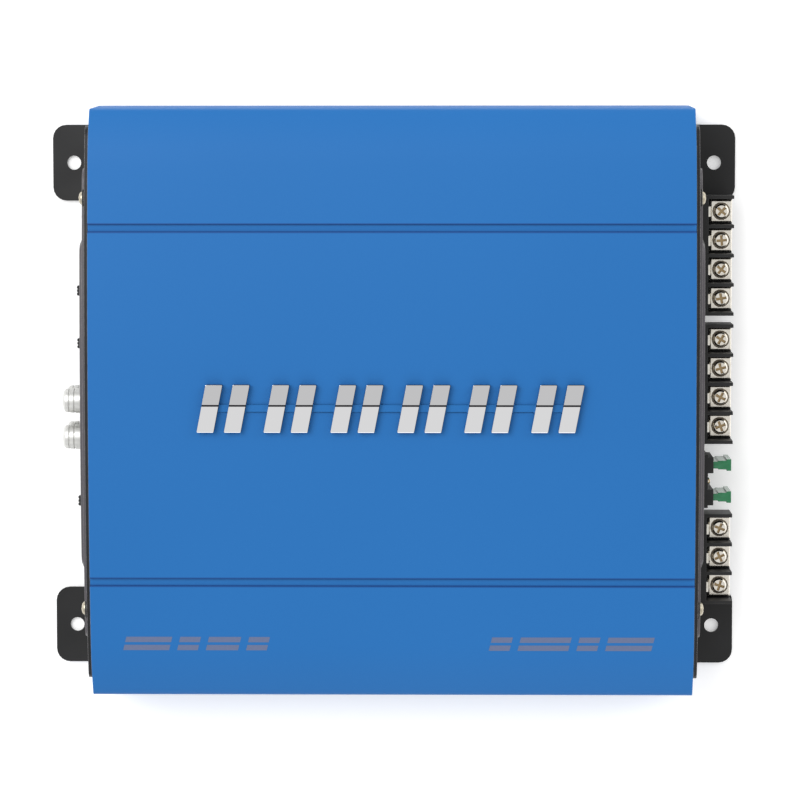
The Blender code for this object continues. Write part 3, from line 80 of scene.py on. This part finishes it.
class Finish:
    """One procedural material. Positions in it are the object's own, in metres."""

    def __init__(self, name, colour, roughness, metallic=0.0, constants=()):
        self.material = bpy.data.materials.new(name)
        self.material.use_nodes = True
        self.tree = self.material.node_tree
        self.main = self.tree.nodes["Principled BSDF"]
        self.main.inputs["Base Color"].default_value = (*colour, 1)
        self.main.inputs["Roughness"].default_value = roughness
        self.main.inputs["Metallic"].default_value = metallic
        for socket, value in constants:
            self.main.inputs[socket].default_value = value
        self.material.diffuse_color = (*colour, 1)
        self.colour = (*colour, 1)
        self.roughness = roughness
        self.metallic = metallic
        self.height = None
        coordinates = self.node("ShaderNodeTexCoord")
        self.place = coordinates.outputs["Object"]
        self.share = coordinates.outputs["Generated"]

    def node(self, kind, **settings):
        made = self.tree.nodes.new(kind)
        for key, value in settings.items():
            setattr(made, key, value)
        return made

    def feed(self, socket, value):
        """Link a socket to a socket, or set it to a number or a colour."""
        if isinstance(value, bpy.types.NodeSocket):
            self.tree.links.new(value, socket)
        else:
            socket.default_value = value

    def calc(self, operation, first, second=0.0, third=0.0):
        made = self.node("ShaderNodeMath", operation=operation)
        for socket, value in zip(made.inputs, (first, second, third)):
            self.feed(socket, value)
        return made.outputs[0]

    def spread(self, value, low, high, to_low=0.0, to_high=1.0):
        """Take low..high to to_low..to_high, and hold it at the ends."""
        made = self.node("ShaderNodeMapRange")
        for socket, part in zip(made.inputs, (value, low, high, to_low, to_high)):
            self.feed(socket, part)
        return made.outputs[0]

    def axes(self, vector=None):
        made = self.node("ShaderNodeSeparateXYZ")
        self.feed(made.inputs[0], vector or self.place)
        return made.outputs

    def scaled(self, stretch, vector=None):
        made = self.node("ShaderNodeMapping")
        self.feed(made.inputs["Vector"], vector or self.place)
        made.inputs["Scale"].default_value = stretch
        return made.outputs[0]

    def noise(self, scale, detail=3.0, stretch=(1, 1, 1), rough=0.5):
        made = self.node("ShaderNodeTexNoise")
        self.feed(made.inputs["Vector"], self.scaled(stretch))
        made.inputs["Scale"].default_value = scale
        made.inputs["Detail"].default_value = detail
        made.inputs["Roughness"].default_value = rough
        return made.outputs[0]

    def waves(self, scale, direction, distortion=0.0):
        made = self.node("ShaderNodeTexWave", bands_direction=direction)
        self.feed(made.inputs["Vector"], self.place)
        made.inputs["Scale"].default_value = scale
        made.inputs["Distortion"].default_value = distortion
        return made.outputs["Fac"]

    def edges(self, radius, low=0.02, high=0.2):
        """Mask of 1 along sharp edges."""
        soft = self.node("ShaderNodeBevel", samples=6)
        soft.inputs["Radius"].default_value = radius
        plain = self.node("ShaderNodeNewGeometry")
        dot = self.node("ShaderNodeVectorMath", operation="DOT_PRODUCT")
        self.feed(dot.inputs[0], soft.outputs[0])
        self.feed(dot.inputs[1], plain.outputs["Normal"])
        return self.spread(self.calc("SUBTRACT", 1.0, dot.outputs["Value"]), low, high)

    def from_middle(self):
        """Distance from the middle of the piece's box in plan, and height in it, as shares of the box."""
        u, v, w = self.axes(self.share)
        squares = [self.calc("MULTIPLY", side, side)
                   for side in (self.calc("SUBTRACT", u, 0.5), self.calc("SUBTRACT", v, 0.5))]
        return self.calc("SQRT", self.calc("ADD", *squares)), w

    def within(self, value, low, high):
        """Mask of 1 between two values."""
        above = self.calc("GREATER_THAN", value, low)
        return self.calc("MULTIPLY", above, self.calc("LESS_THAN", value, high))

    def both(self, *masks):
        result = masks[0]
        for mask in masks[1:]:
            result = self.calc("MULTIPLY", result, mask)
        return result

    def blend_colour(self, mask, colour):
        """Lay a colour over the base colour where the mask is 1."""
        made = self.node("ShaderNodeMix", data_type="RGBA")
        self.feed(made.inputs[0], mask)
        self.feed(made.inputs[6], self.colour)
        self.feed(made.inputs[7], colour if isinstance(colour, bpy.types.NodeSocket) else (*colour, 1))
        self.colour = made.outputs[2]

    def blend_value(self, name, mask, value):
        """Move roughness or metallic to a value where the mask is 1."""
        made = self.node("ShaderNodeMix", data_type="FLOAT")
        self.feed(made.inputs[0], mask)
        self.feed(made.inputs[2], getattr(self, name))
        self.feed(made.inputs[3], value)
        setattr(self, name, made.outputs[0])

    def vary(self, name, pattern, low, high):
        """Add a pattern of 0..1 to roughness, as low..high."""
        setattr(self, name, self.calc("ADD", getattr(self, name), self.spread(pattern, 0, 1, low, high)))

    def raise_by(self, pattern, height):
        """Add a pattern of 0..1 to the surface's relief, in metres."""
        part = self.calc("MULTIPLY", pattern, height)
        self.height = part if self.height is None else self.calc("ADD", self.height, part)

    def done(self):
        self.feed(self.main.inputs["Base Color"], self.colour)
        self.feed(self.main.inputs["Roughness"], self.roughness)
        self.feed(self.main.inputs["Metallic"], self.metallic)
        if self.height is not None:
            bump = self.node("ShaderNodeBump")
            bump.inputs["Strength"].default_value = 1.0
            bump.inputs["Distance"].default_value = 1.0
            self.feed(bump.inputs["Height"], self.height)
            self.feed(self.main.inputs["Normal"], bump.outputs[0])
        return self.material


# ---------------------------------------------------------------- finishes

GROOVE_Y = 76.8 * MM                # middle of each long groove in the cover
GROOVE_HALF = 1.7 * MM
BLADE_LENGTH = 7.15 * MM            # bare metal of a fuse, behind its body


def cover_finish():
    """Satin blue coating: fine grain, faint lines along the extrusion, paler edges as a painted highlight,
    and painted shade along the edges of the long grooves.
    """
    finish = Finish("cover_blue", (0.0108, 0.125, 0.372), 0.5, 0.0, (("Specular IOR Level", 0.22),))
    finish.blend_colour(finish.spread(finish.noise(5, 2), 0.3, 0.7), (0.0128, 0.134, 0.395))
    grain = finish.noise(2600, 2)
    finish.blend_colour(finish.spread(grain, 0.35, 0.75, 0.0, 0.35), (0.008, 0.11, 0.36))
    lines = finish.noise(1400, 3, stretch=(0.015, 1, 1))
    finish.vary("roughness", lines, -0.04, 0.04)
    finish.raise_by(grain, 0.000006)
    finish.raise_by(lines, 0.000003)
    # Painted highlight: paler blue along the sharp edges.
    finish.blend_colour(finish.calc("MULTIPLY", finish.edges(0.0006), 0.4), (0.1, 0.27, 0.56))
    # Painted shade: dark blue lines along both edges of each long groove.
    across = finish.calc("ABSOLUTE", finish.axes()[1])
    for edge in (GROOVE_Y - GROOVE_HALF, GROOVE_Y + GROOVE_HALF):
        distance = finish.calc("ABSOLUTE", finish.calc("SUBTRACT", across, edge))
        finish.blend_colour(finish.spread(distance, 0.25 * MM, 0.6 * MM, 0.85, 0), (0.006, 0.055, 0.22))
    return finish.done()


def coat_finish():
    """Satin black coating on folded sheet, with a painted grey reflection on the slopes round the raised
    levels and a painted highlight in patches along the upper edges.
    """
    finish = Finish("panel_black", (0.008, 0.008, 0.0085), 0.42, 0.0, (("Specular IOR Level", 0.35),))
    grain = finish.noise(2200, 2)
    finish.vary("roughness", grain, -0.06, 0.08)
    finish.raise_by(grain, 0.00001)
    finish.blend_colour(finish.spread(finish.noise(60, 4), 0.45, 0.8, 0, 0.5), (0.016, 0.016, 0.017))
    z = finish.axes()[2]
    # Painted reflection: the tilted faces of the upper part are made satin grey.
    slope = finish.calc("ABSOLUTE", finish.axes(finish.node("ShaderNodeNewGeometry").outputs["Normal"])[0])
    tilted = finish.within(slope, 0.15, 0.95)
    high = finish.spread(z, 16 * MM, 38 * MM)
    slope_reflection = finish.both(tilted, high)
    finish.blend_colour(slope_reflection, (0.085, 0.078, 0.088))
    finish.blend_value("roughness", slope_reflection, 0.35)
    # Painted highlight: pale grey in patches along the edges of the upper part.
    patches = finish.spread(finish.noise(300, 3), 0.3, 0.6, 0.5, 1)
    painted_edge_highlight = finish.calc("MULTIPLY", finish.edges(0.0005), patches)
    finish.blend_colour(finish.both(painted_edge_highlight, high), (0.3, 0.29, 0.28))
    return finish.done()


def plastic_finish():
    """Moulded black plastic with a fine matt grain and slightly paler edges as a painted highlight."""
    finish = Finish("moulded_black", (0.009, 0.009, 0.0095), 0.5, 0.0, (("Specular IOR Level", 0.4),))
    grain = finish.noise(3000, 2)
    finish.vary("roughness", grain, -0.08, 0.1)
    finish.raise_by(grain, 0.000012)
    finish.blend_colour(finish.spread(finish.noise(180, 3), 0.4, 0.8, 0, 0.6), (0.018, 0.0175, 0.0175))
    # Painted highlight: paler grey along the sharp edges.
    finish.blend_colour(finish.calc("MULTIPLY", finish.edges(0.0004), 0.6), (0.09, 0.09, 0.09))
    return finish.done()


def nickel_finish(name, colour, roughness, stain):
    """Bright plate with small ripples and a brown stain in patches."""
    finish = Finish(name, colour, roughness, 1.0)
    patches = finish.noise(700, 4)
    finish.blend_colour(finish.spread(patches, 0.45, 0.75, 0, stain), (0.4, 0.3, 0.16))
    finish.vary("roughness", finish.noise(1500, 3), -0.06, 0.14)
    finish.raise_by(finish.noise(900, 3), 0.00003)
    return finish


def clamp_finish():
    finish = nickel_finish("clamp_nickel", (0.86, 0.82, 0.74), 0.24, 0.25)
    across = finish.waves(520, "X", 1.5)
    rim = finish.edges(0.0007)
    finish.raise_by(finish.calc("MULTIPLY", across, rim), 0.00006)
    radius, w = finish.from_middle()
    # Painted shade: dark brown in the recess round the screw hole, below the top face.
    pit_shade = finish.both(finish.calc("LESS_THAN", radius, 0.405), finish.calc("LESS_THAN", w, 0.9))
    finish.blend_colour(finish.calc("MULTIPLY", pit_shade, 0.85), (0.12, 0.085, 0.05))
    finish.blend_value("roughness", pit_shade, 0.4)
    return finish.done()


def screw_finish():
    finish = nickel_finish("screw_nickel", (0.88, 0.84, 0.76), 0.18, 0.3)
    radius, w = finish.from_middle()
    # Painted shade: dark brown in the recess of the head, below its top.
    recess_shade = finish.both(finish.calc("LESS_THAN", radius, 0.36), finish.within(w, 0.6, 0.985))
    finish.blend_colour(finish.calc("MULTIPLY", recess_shade, 0.9), (0.3, 0.2, 0.08))
    return finish.done()


def chrome_finish():
    """Bright plate with a painted reflection in two tones and a dark painted reflection line, with dark edges
    away from the light; the thin carrier strip is blue.
    """
    finish = Finish("emblem_chrome", (0.85, 0.85, 0.86), 0.07, 1.0, (("Specular IOR Level", 0.22),))
    y, z = finish.axes()[1:]
    centre = middle("emblem")
    across = finish.calc("SUBTRACT", y, centre.y)
    # Painted reflection: darker tone on the bars beyond 1.6 mm towards +Y.
    finish.blend_colour(finish.spread(across, 1.6 * MM, 1.7 * MM, 0, 1), (0.66, 0.66, 0.67))
    # Painted reflection: near-black line across the bars between 0.9 and 1.7 mm towards +Y.
    finish.blend_colour(finish.within(across, 0.9 * MM, 1.7 * MM), (0.03, 0.03, 0.035))
    lean = finish.axes(finish.node("ShaderNodeNewGeometry").outputs["Normal"])
    far_side = finish.calc("ADD", lean[0], finish.calc("MULTIPLY", lean[1], 0.6))
    finish.blend_colour(finish.spread(far_side, 0.1, 0.35), (0.03, 0.03, 0.035))
    finish.vary("roughness", finish.noise(400, 3), -0.02, 0.03)
    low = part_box("emblem")[0]
    strip = finish.calc("LESS_THAN", z, low.z + 0.6 * MM)
    finish.blend_colour(strip, (0.0108, 0.125, 0.372))
    finish.blend_value("metallic", strip, 0.0)
    finish.blend_value("roughness", strip, 0.5)
    return finish.done()


def barrel_finish():
    """Bright barrels with turning lines round them."""
    finish = Finish("barrel_plate", (0.68, 0.68, 0.66), 0.4, 1.0)
    turning = finish.noise(2500, 2, stretch=(1, 0.05, 0.05))
    finish.vary("roughness", turning, -0.05, 0.1)
    finish.raise_by(turning, 0.000004)
    return finish.done()


def steel_finish():
    finish = nickel_finish("zinc_steel", (0.62, 0.62, 0.63), 0.32, 0.1)
    return finish.done()


def fuse_finish():
    """Clear green plastic body with metal blades."""
    clear = (("Transmission Weight", 0.3), ("IOR", 1.5))
    finish = Finish("fuse_green", (0.015, 0.2, 0.075), 0.16, 0.0, clear)
    streaks = finish.noise(500, 3, stretch=(0.3, 1, 1))
    finish.blend_colour(finish.spread(streaks, 0.4, 0.75, 0, 0.5), (0.08, 0.36, 0.18))
    # Painted highlight: pale green on the faces that look towards +Y.
    side = finish.axes(finish.node("ShaderNodeNewGeometry").outputs["Normal"])[1]
    finish.blend_colour(finish.spread(side, 0.5, 0.9, 0, 0.55), (0.5, 0.62, 0.54))
    finish.vary("roughness", finish.noise(1200, 2), -0.04, 0.1)
    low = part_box("fuse_1")[0]
    blades = finish.calc("LESS_THAN", finish.axes()[0], low.x + BLADE_LENGTH)
    finish.blend_colour(blades, (0.75, 0.75, 0.76))
    finish.blend_value("metallic", blades, 1.0)
    return finish.done()


def board_finish():
    """Green solder mask over tracks, with dark moulded parts."""
    finish = Finish("board_green", (0.015, 0.1, 0.045), 0.35)
    tracks = finish.waves(260, "DIAGONAL", 6.0)
    finish.blend_colour(finish.spread(tracks, 0.55, 0.6, 0, 0.7), (0.03, 0.2, 0.08))
    x, y, z = finish.axes()
    parts = finish.calc("GREATER_THAN", z, 12 * MM)
    front = finish.calc("GREATER_THAN", finish.calc("ABSOLUTE", x), 119 * MM)
    wall = finish.calc("GREATER_THAN", y, 110 * MM)
    moulded = finish.calc("MULTIPLY", parts, finish.calc("MAXIMUM", front, wall))
    finish.blend_colour(moulded, (0.02, 0.02, 0.021))
    finish.vary("roughness", finish.noise(900, 2), -0.05, 0.12)
    finish.raise_by(tracks, 0.00002)
    return finish.done()


def winding_finish():
    """Enamelled wire wound round a ring."""
    finish = Finish("winding_amber", (0.42, 0.17, 0.045), 0.3, 0.5, (("Coat Weight", 0.5),))
    centre = middle("power_transformer")
    x, y = finish.axes()[:2]
    angle = finish.calc("ARCTAN2", finish.calc("SUBTRACT", y, centre.y), finish.calc("SUBTRACT", x, centre.x))
    turns = finish.calc("SINE", finish.calc("MULTIPLY", angle, 110))
    wires = finish.spread(turns, -1, 1)
    # Painted shade: dark brown in the hollows between the turns.
    finish.blend_colour(finish.spread(wires, 0.0, 0.35, 0.8, 0.0), (0.09, 0.03, 0.01))
    finish.vary("roughness", finish.noise(400, 2), -0.05, 0.1)
    finish.raise_by(wires, 0.0004)
    return finish.done()


def sleeve_finish():
    """Shrunk black sleeve with a plain pale stripe down one side and a bare metal top."""
    finish = Finish("capacitor_sleeve", (0.02, 0.022, 0.035), 0.32)
    u, v, w = finish.axes(finish.share)
    stripe = finish.both(finish.calc("LESS_THAN", u, 0.16), finish.within(v, 0.2, 0.8))
    finish.blend_colour(stripe, (0.55, 0.56, 0.58))
    top = finish.calc("GREATER_THAN", w, 0.985)
    finish.blend_colour(top, (0.7, 0.7, 0.72))
    finish.blend_value("metallic", top, 1.0)
    finish.vary("roughness", finish.noise(600, 2), -0.05, 0.1)
    return finish.done()


def lamp_finish():
    finish = Finish("lamp_red", (0.55, 0.02, 0.015), 0.12, 0.0, (("Transmission Weight", 0.4), ("IOR", 1.5)))
    finish.vary("roughness", finish.noise(900, 2), -0.03, 0.06)
    return finish.done()


def print_finish(name, colour):
    """Thin screen-printed ink, slightly uneven."""
    finish = Finish(name, colour, 0.5)
    finish.blend_colour(finish.spread(finish.noise(900, 3), 0.3, 0.7, 0, 0.3), tuple(c * 0.8 for c in colour))
    finish.raise_by(finish.noise(2500, 2), 0.00001)
    return finish.done()


def insulator_finish(name, colour):
    finish = Finish(name, colour, 0.35)
    finish.vary("roughness", finish.noise(900, 2), -0.05, 0.12)
    finish.raise_by(finish.noise(2500, 2), 0.000008)
    return finish.done()


FINISHES = {
    "blue_paint": cover_finish(),
    "black_coat": coat_finish(),
    "black_plastic": plastic_finish(),
    "nickel": nickel_finish("contact_nickel", (0.86, 0.83, 0.76), 0.26, 0.25).done(),
    "silver": barrel_finish(),
    "chrome": chrome_finish(),
    "steel": steel_finish(),
    "green_plastic": fuse_finish(),
    "board_green": board_finish(),
    "amber_winding": winding_finish(),
    "black_sleeve": sleeve_finish(),
    "red_lens": lamp_finish(),
}
CLAMP_NICKEL = clamp_finish()
SCREW_NICKEL = screw_finish()
PANEL_SCREW_NICKEL = nickel_finish("panel_screw_nickel", (0.5, 0.46, 0.37), 0.3, 0.4).done()
PRINT_GREY = print_finish("print_grey", (0.1, 0.13, 0.24))
INSULATOR_WHITE = insulator_finish("insulator_white", (0.75, 0.74, 0.7))
INSULATOR_RED = insulator_finish("insulator_red", (0.55, 0.03, 0.03))

# Width of the rounded edges of each CAD node's finish
EDGE_WIDTHS = {
    "blue_paint": 0.35 * MM, "black_coat": 0.3 * MM, "black_plastic": 0.2 * MM, "nickel": 0.15 * MM,
    "silver": 0.12 * MM, "chrome": 0.45 * MM, "steel": 0.15 * MM, "green_plastic": 0.25 * MM,
    "board_green": 0.1 * MM, "amber_winding": 0.3 * MM, "black_sleeve": 0.2 * MM, "red_lens": 0.1 * MM,
}


def smooth_shading():
    """Node group that smooths the shading of a whole mesh."""
    group = bpy.data.node_groups.new("smooth_shading", "GeometryNodeTree")
    for way in ("INPUT", "OUTPUT"):
        group.interface.new_socket("Geometry", in_out=way, socket_type="NodeSocketGeometry")
    clear = group.nodes.new("GeometryNodeRemoveAttribute")
    clear.inputs["Name"].default_value = "custom_normal"
    steps = [group.nodes.new("NodeGroupInput"), clear]
    for domain in ("FACE", "EDGE"):
        smooth = group.nodes.new("GeometryNodeSetShadeSmooth")
        smooth.domain = domain
        steps.append(smooth)
    steps.append(group.nodes.new("NodeGroupOutput"))
    for before, after in zip(steps, steps[1:]):
        group.links.new(before.outputs[0], after.inputs[0])
    return group


SMOOTH_SHADING = smooth_shading()


def soften(piece, width):
    """Round a piece's sharp edges a little."""
    weld = piece.modifiers.new("weld", "WELD")
    weld.merge_threshold = 0.00001
    bevel = piece.modifiers.new("bevel", "BEVEL")
    bevel.width = width
    bevel.segments = 2
    bevel.limit_method = "ANGLE"
    bevel.angle_limit = math.radians(40)
    bevel.use_clamp_overlap = True
    bevel.harden_normals = True


for part in frame["record"]["subparts"]:
    slot = part["material_slot"]
    node = nodes[part["node"]]
    node.data.materials.clear()
    node.data.materials.append(FINISHES[slot])
    if part["node"] in POLES:
        node.data.materials[0] = CLAMP_NICKEL
    if part["node"] in SCREWS:
        node.data.materials[0] = SCREW_NICKEL
    if part["node"].startswith("panel_screw_"):
        node.data.materials[0] = PANEL_SCREW_NICKEL
    node.modifiers.new("smooth", "NODES").node_group = SMOOTH_SHADING
    soften(node, EDGE_WIDTHS[slot])


# ---------------------------------------------------------------- added pieces

def add_piece(name, bm, material, edge=0.0):
    """Added piece that rides on the amplifier's case."""
    bmesh.ops.recalc_face_normals(bm, faces=bm.faces)
    mesh = bpy.data.meshes.new(name)
    bm.to_mesh(mesh)
    bm.free()
    mesh.shade_smooth()
    mesh.set_sharp_from_angle(angle=math.radians(35))
    mesh.materials.append(material)
    piece = bpy.data.objects.new(name, mesh)
    bpy.context.scene.collection.objects.link(piece)
    if edge:
        soften(piece, edge)
    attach(piece, BODY)
    return piece


def add_box(bm, low, high):
    corners = [Vector((x, y, z)) for z in (low[2], high[2]) for x, y in
               ((low[0], low[1]), (high[0], low[1]), (high[0], high[1]), (low[0], high[1]))]
    verts = [bm.verts.new(corner) for corner in corners]
    for face in ((3, 2, 1, 0), (4, 5, 6, 7), (0, 1, 5, 4), (1, 2, 6, 5), (2, 3, 7, 6), (3, 0, 4, 7)):
        bm.faces.new([verts[index] for index in face])


def add_holed_plate(bm, low, high, centre, radius, sides=16):
    """Rectangular plate with a round hole through it."""
    rings = []
    for z in (low[2], high[2]):
        hole, rim = [], []
        for side in range(sides):
            angle = 2 * math.pi * side / sides
            way = Vector((math.cos(angle), math.sin(angle)))
            hole.append(bm.verts.new((centre[0] + radius * way.x, centre[1] + radius * way.y, z)))
            reach_x = ((high[0] if way.x > 0 else low[0]) - centre[0]) / way.x if abs(way.x) > 1e-6 else 9
            reach_y = ((high[1] if way.y > 0 else low[1]) - centre[1]) / way.y if abs(way.y) > 1e-6 else 9
            if side % (sides // 4) == sides // 8:
                point = (high[0] if way.x > 0 else low[0], high[1] if way.y > 0 else low[1])
            else:
                reach = min(reach_x, reach_y)
                point = (centre[0] + reach * way.x, centre[1] + reach * way.y)
            rim.append(bm.verts.new((*point, z)))
        rings.append((hole, rim))
    (low_hole, low_rim), (high_hole, high_rim) = rings
    for side in range(sides):
        after = (side + 1) % sides
        bm.faces.new((low_hole[side], low_hole[after], low_rim[after], low_rim[side]))
        bm.faces.new((high_hole[after], high_hole[side], high_rim[side], high_rim[after]))
        bm.faces.new((low_rim[side], low_rim[after], high_rim[after], high_rim[side]))
        bm.faces.new((low_hole[after], low_hole[side], high_hole[side], high_hole[after]))


def add_turned(bm, profile, matrix, sides=24):
    """Turn a closed (radius, height) profile about the matrix's Z axis."""
    rings = []
    for radius, height in profile:
        ring = []
        for side in range(sides if radius else 1):
            angle = 2 * math.pi * side / sides
            point = Vector((radius * math.cos(angle), radius * math.sin(angle), height))
            ring.append(bm.verts.new(matrix @ point))
        rings.append(ring)
    pairs = list(zip(rings, rings[1:]))
    if all(radius for radius, height in profile):
        pairs.append((rings[-1], rings[0]))
    for lower, upper in pairs:
        for side in range(sides):
            after = (side + 1) % sides
            corners = [lower[side % len(lower)], lower[after % len(lower)]]
            corners += [upper[after % len(upper)], upper[side % len(upper)]]
            bm.faces.new(list(dict.fromkeys(corners)))


def outward(x, y, z):
    """Place whose Z axis points along +X."""
    return Matrix.Translation((x, y, z)) @ Matrix.Rotation(math.pi / 2, 4, "Y")


SKIN = 0.07 * MM                    # how far the plating stands proud of the CAD contacts
TAB_OFFSET = -2.12 * MM             # from the clamp's inner edge to the tab's inner face
TAB_THICKNESS = 1.72 * MM
TAB_WIDTH = 4.4 * MM
TAB_RISE = 8 * MM
BAR_REACH = (-0.1 * MM, -0.25 * MM)   # contact bar past the clamp's inner and outer edges
BAR_WIDTH = 9.8 * MM
BAR_DROP = 0.3 * MM                 # from the clamp's underside to the bar
BAR_THICKNESS = 0.9 * MM
HOLE_RADIUS = 2.0 * MM


def contacts(key):
    """Bright contact bar and upright tab of each pole of one terminal block."""
    bm = bmesh.new()
    for name in POLES:
        if name[len("wire_clamp_")] != key:
            continue
        low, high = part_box(name)
        y = (low.y + high.y) / 2
        bar_top = low.z - BAR_DROP + SKIN
        add_holed_plate(bm, (low.x + BAR_REACH[0], y - BAR_WIDTH / 2 - SKIN, bar_top - BAR_THICKNESS),
                        (high.x + BAR_REACH[1] + SKIN, y + BAR_WIDTH / 2 + SKIN, bar_top),
                        ((low.x + high.x) / 2, y), HOLE_RADIUS)
        tab_x = low.x + TAB_OFFSET
        add_box(bm, (tab_x, y - TAB_WIDTH / 2 - SKIN, bar_top - BAR_THICKNESS / 2),
                (tab_x + TAB_THICKNESS + SKIN, y + TAB_WIDTH / 2 + SKIN, bar_top + TAB_RISE))
    add_piece(f"contacts_{key}", bm, FINISHES["nickel"], 0.12 * MM)


for key in "abp":
    contacts(key)


def rivet():
    """Small round rivet between the two towers of the fuse holder."""
    first, second = middle("fuse_1"), middle("fuse_2")
    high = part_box("fuse_holder")[1]
    face = high.x - 2.4 * MM
    place = outward(face, (first.y + second.y) / 2, high.z - 3 * MM)
    profile = [(0, -0.2 * MM), (1.5 * MM, -0.2 * MM), (1.5 * MM, 0.5 * MM), (1.2 * MM, 0.9 * MM)]
    profile += [(0.6 * MM, 1.15 * MM), (0, 1.2 * MM)]
    bm = bmesh.new()
    add_turned(bm, profile, place, 20)
    add_piece("fuse_holder_rivet", bm, SCREW_NICKEL)


rivet()


def insulators():
    """Coloured faces of the phono jacks: white for one channel of each pair, red for the other."""
    columns = sorted({round(middle(name).y, 4) for name in SHELLS})
    faces = (("jack_insulators_white", INSULATOR_WHITE), ("jack_insulators_red", INSULATOR_RED))
    for name, material in faces:
        bm = bmesh.new()
        for shell in SHELLS:
            place = middle(shell)
            white = round(place.y, 4) == columns[-1]
            if white != (material == INSULATOR_WHITE):
                continue
            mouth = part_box(shell)[0].x
            profile = [(1.65 * MM, 0.7 * MM), (3.37 * MM, 0.7 * MM), (3.37 * MM, 6 * MM), (1.65 * MM, 6 * MM)]
            add_turned(bm, profile, outward(mouth, place.y, place.z), 24)
        add_piece(name, bm, material, 0.1 * MM)


insulators()


def cover_surface():
    """Look-up of the cover's top surface."""
    bm = bmesh.new()
    bm.from_mesh(nodes["heatsink_cover"].data)
    tree = BVHTree.FromBMesh(bm)
    bm.free()
    return tree


COVER = cover_surface()


def on_cover(x, y):
    """Point on the cover's top surface."""
    return COVER.ray_cast(Vector((x, y, 1)), Vector((0, 0, -1)))[0]


PRINT_Y = (-107 * MM, -101 * MM)
PRINT_SLANT = 1.5 * MM
PRINT_GROUPS = ((-117 * MM, (20, 9, 14, 9)), (42 * MM, (9, 22, 9, 20)))
PRINT_SPACE = 3.5 * MM
INK = 0.05 * MM


def printed_stripes():
    """Two plain rows of slanted stripes near the cover's edge, where the real one carries print."""
    bm = bmesh.new()
    row = (PRINT_Y[1] - PRINT_Y[0]) / 5
    for start, lengths in PRINT_GROUPS:
        x = start
        for length in lengths:
            for line in (0, 3):
                low_y = PRINT_Y[0] + line * row
                high_y = low_y + 2 * row
                lean = PRINT_SLANT * (low_y - PRINT_Y[0]) / (PRINT_Y[1] - PRINT_Y[0])
                rise = PRINT_SLANT * (high_y - low_y) / (PRINT_Y[1] - PRINT_Y[0])
                corners = [(x + lean, low_y), (x + lean + length * MM, low_y),
                           (x + lean + rise + length * MM, high_y), (x + lean + rise, high_y)]
                under = [bm.verts.new(on_cover(*corner) - Vector((0, 0, INK))) for corner in corners]
                over = [bm.verts.new(on_cover(*corner) + Vector((0, 0, INK))) for corner in corners]
                bm.faces.new(list(reversed(under)))
                bm.faces.new(over)
                for index in range(4):
                    after = (index + 1) % 4
                    bm.faces.new((under[index], under[after], over[after], over[index]))
            x += length * MM + PRINT_SPACE
    add_piece("cover_print", bm, PRINT_GREY)


printed_stripes()


# ---------------------------------------------------------------- floor and light

def floor():
    bm = bmesh.new()
    bmesh.ops.create_grid(bm, x_segments=1, y_segments=1, size=4)
    mesh = bpy.data.meshes.new("floor")
    bm.to_mesh(mesh)
    bm.free()
    glow = (("Emission Color", (1, 1, 1, 1)), ("Emission Strength", 0.24))
    paper = Finish("floor_white", (0.93, 0.93, 0.93), 0.9, 0.0, glow)
    paper.blend_colour(paper.spread(paper.noise(40, 3), 0.3, 0.7, 0, 0.3), (0.92, 0.92, 0.925))
    mesh.materials.append(paper.done())
    ground = bpy.data.objects.new("floor", mesh)
    bpy.context.scene.collection.objects.link(ground)


floor()


def area_light(name, place, size, energy):
    data = bpy.data.lights.new(name, "AREA")
    data.shape = "DISK"
    data.size = size
    data.energy = energy
    light = bpy.data.objects.new(name, data)
    light.location = place
    light.rotation_euler = (-Vector(place)).to_track_quat("-Z", "Y").to_euler()
    bpy.context.scene.collection.objects.link(light)


area_light("key_light", (-1.1, 0.9, 1.9), 1.8, 32)
area_light("side_light", (1.6, 0.9, 1.0), 1.2, 8)
area_light("low_light", (0.2, -1.6, 1.2), 1.4, 4)

world = bpy.data.worlds.new("studio")
world.use_nodes = True
world.node_tree.nodes["Background"].inputs["Color"].default_value = (1, 1, 1, 1)
world.node_tree.nodes["Background"].inputs["Strength"].default_value = 0.8
bpy.context.scene.world = world
bpy.context.scene.view_settings.view_transform = "Standard"
bpy.context.scene.view_settings.look = "None"
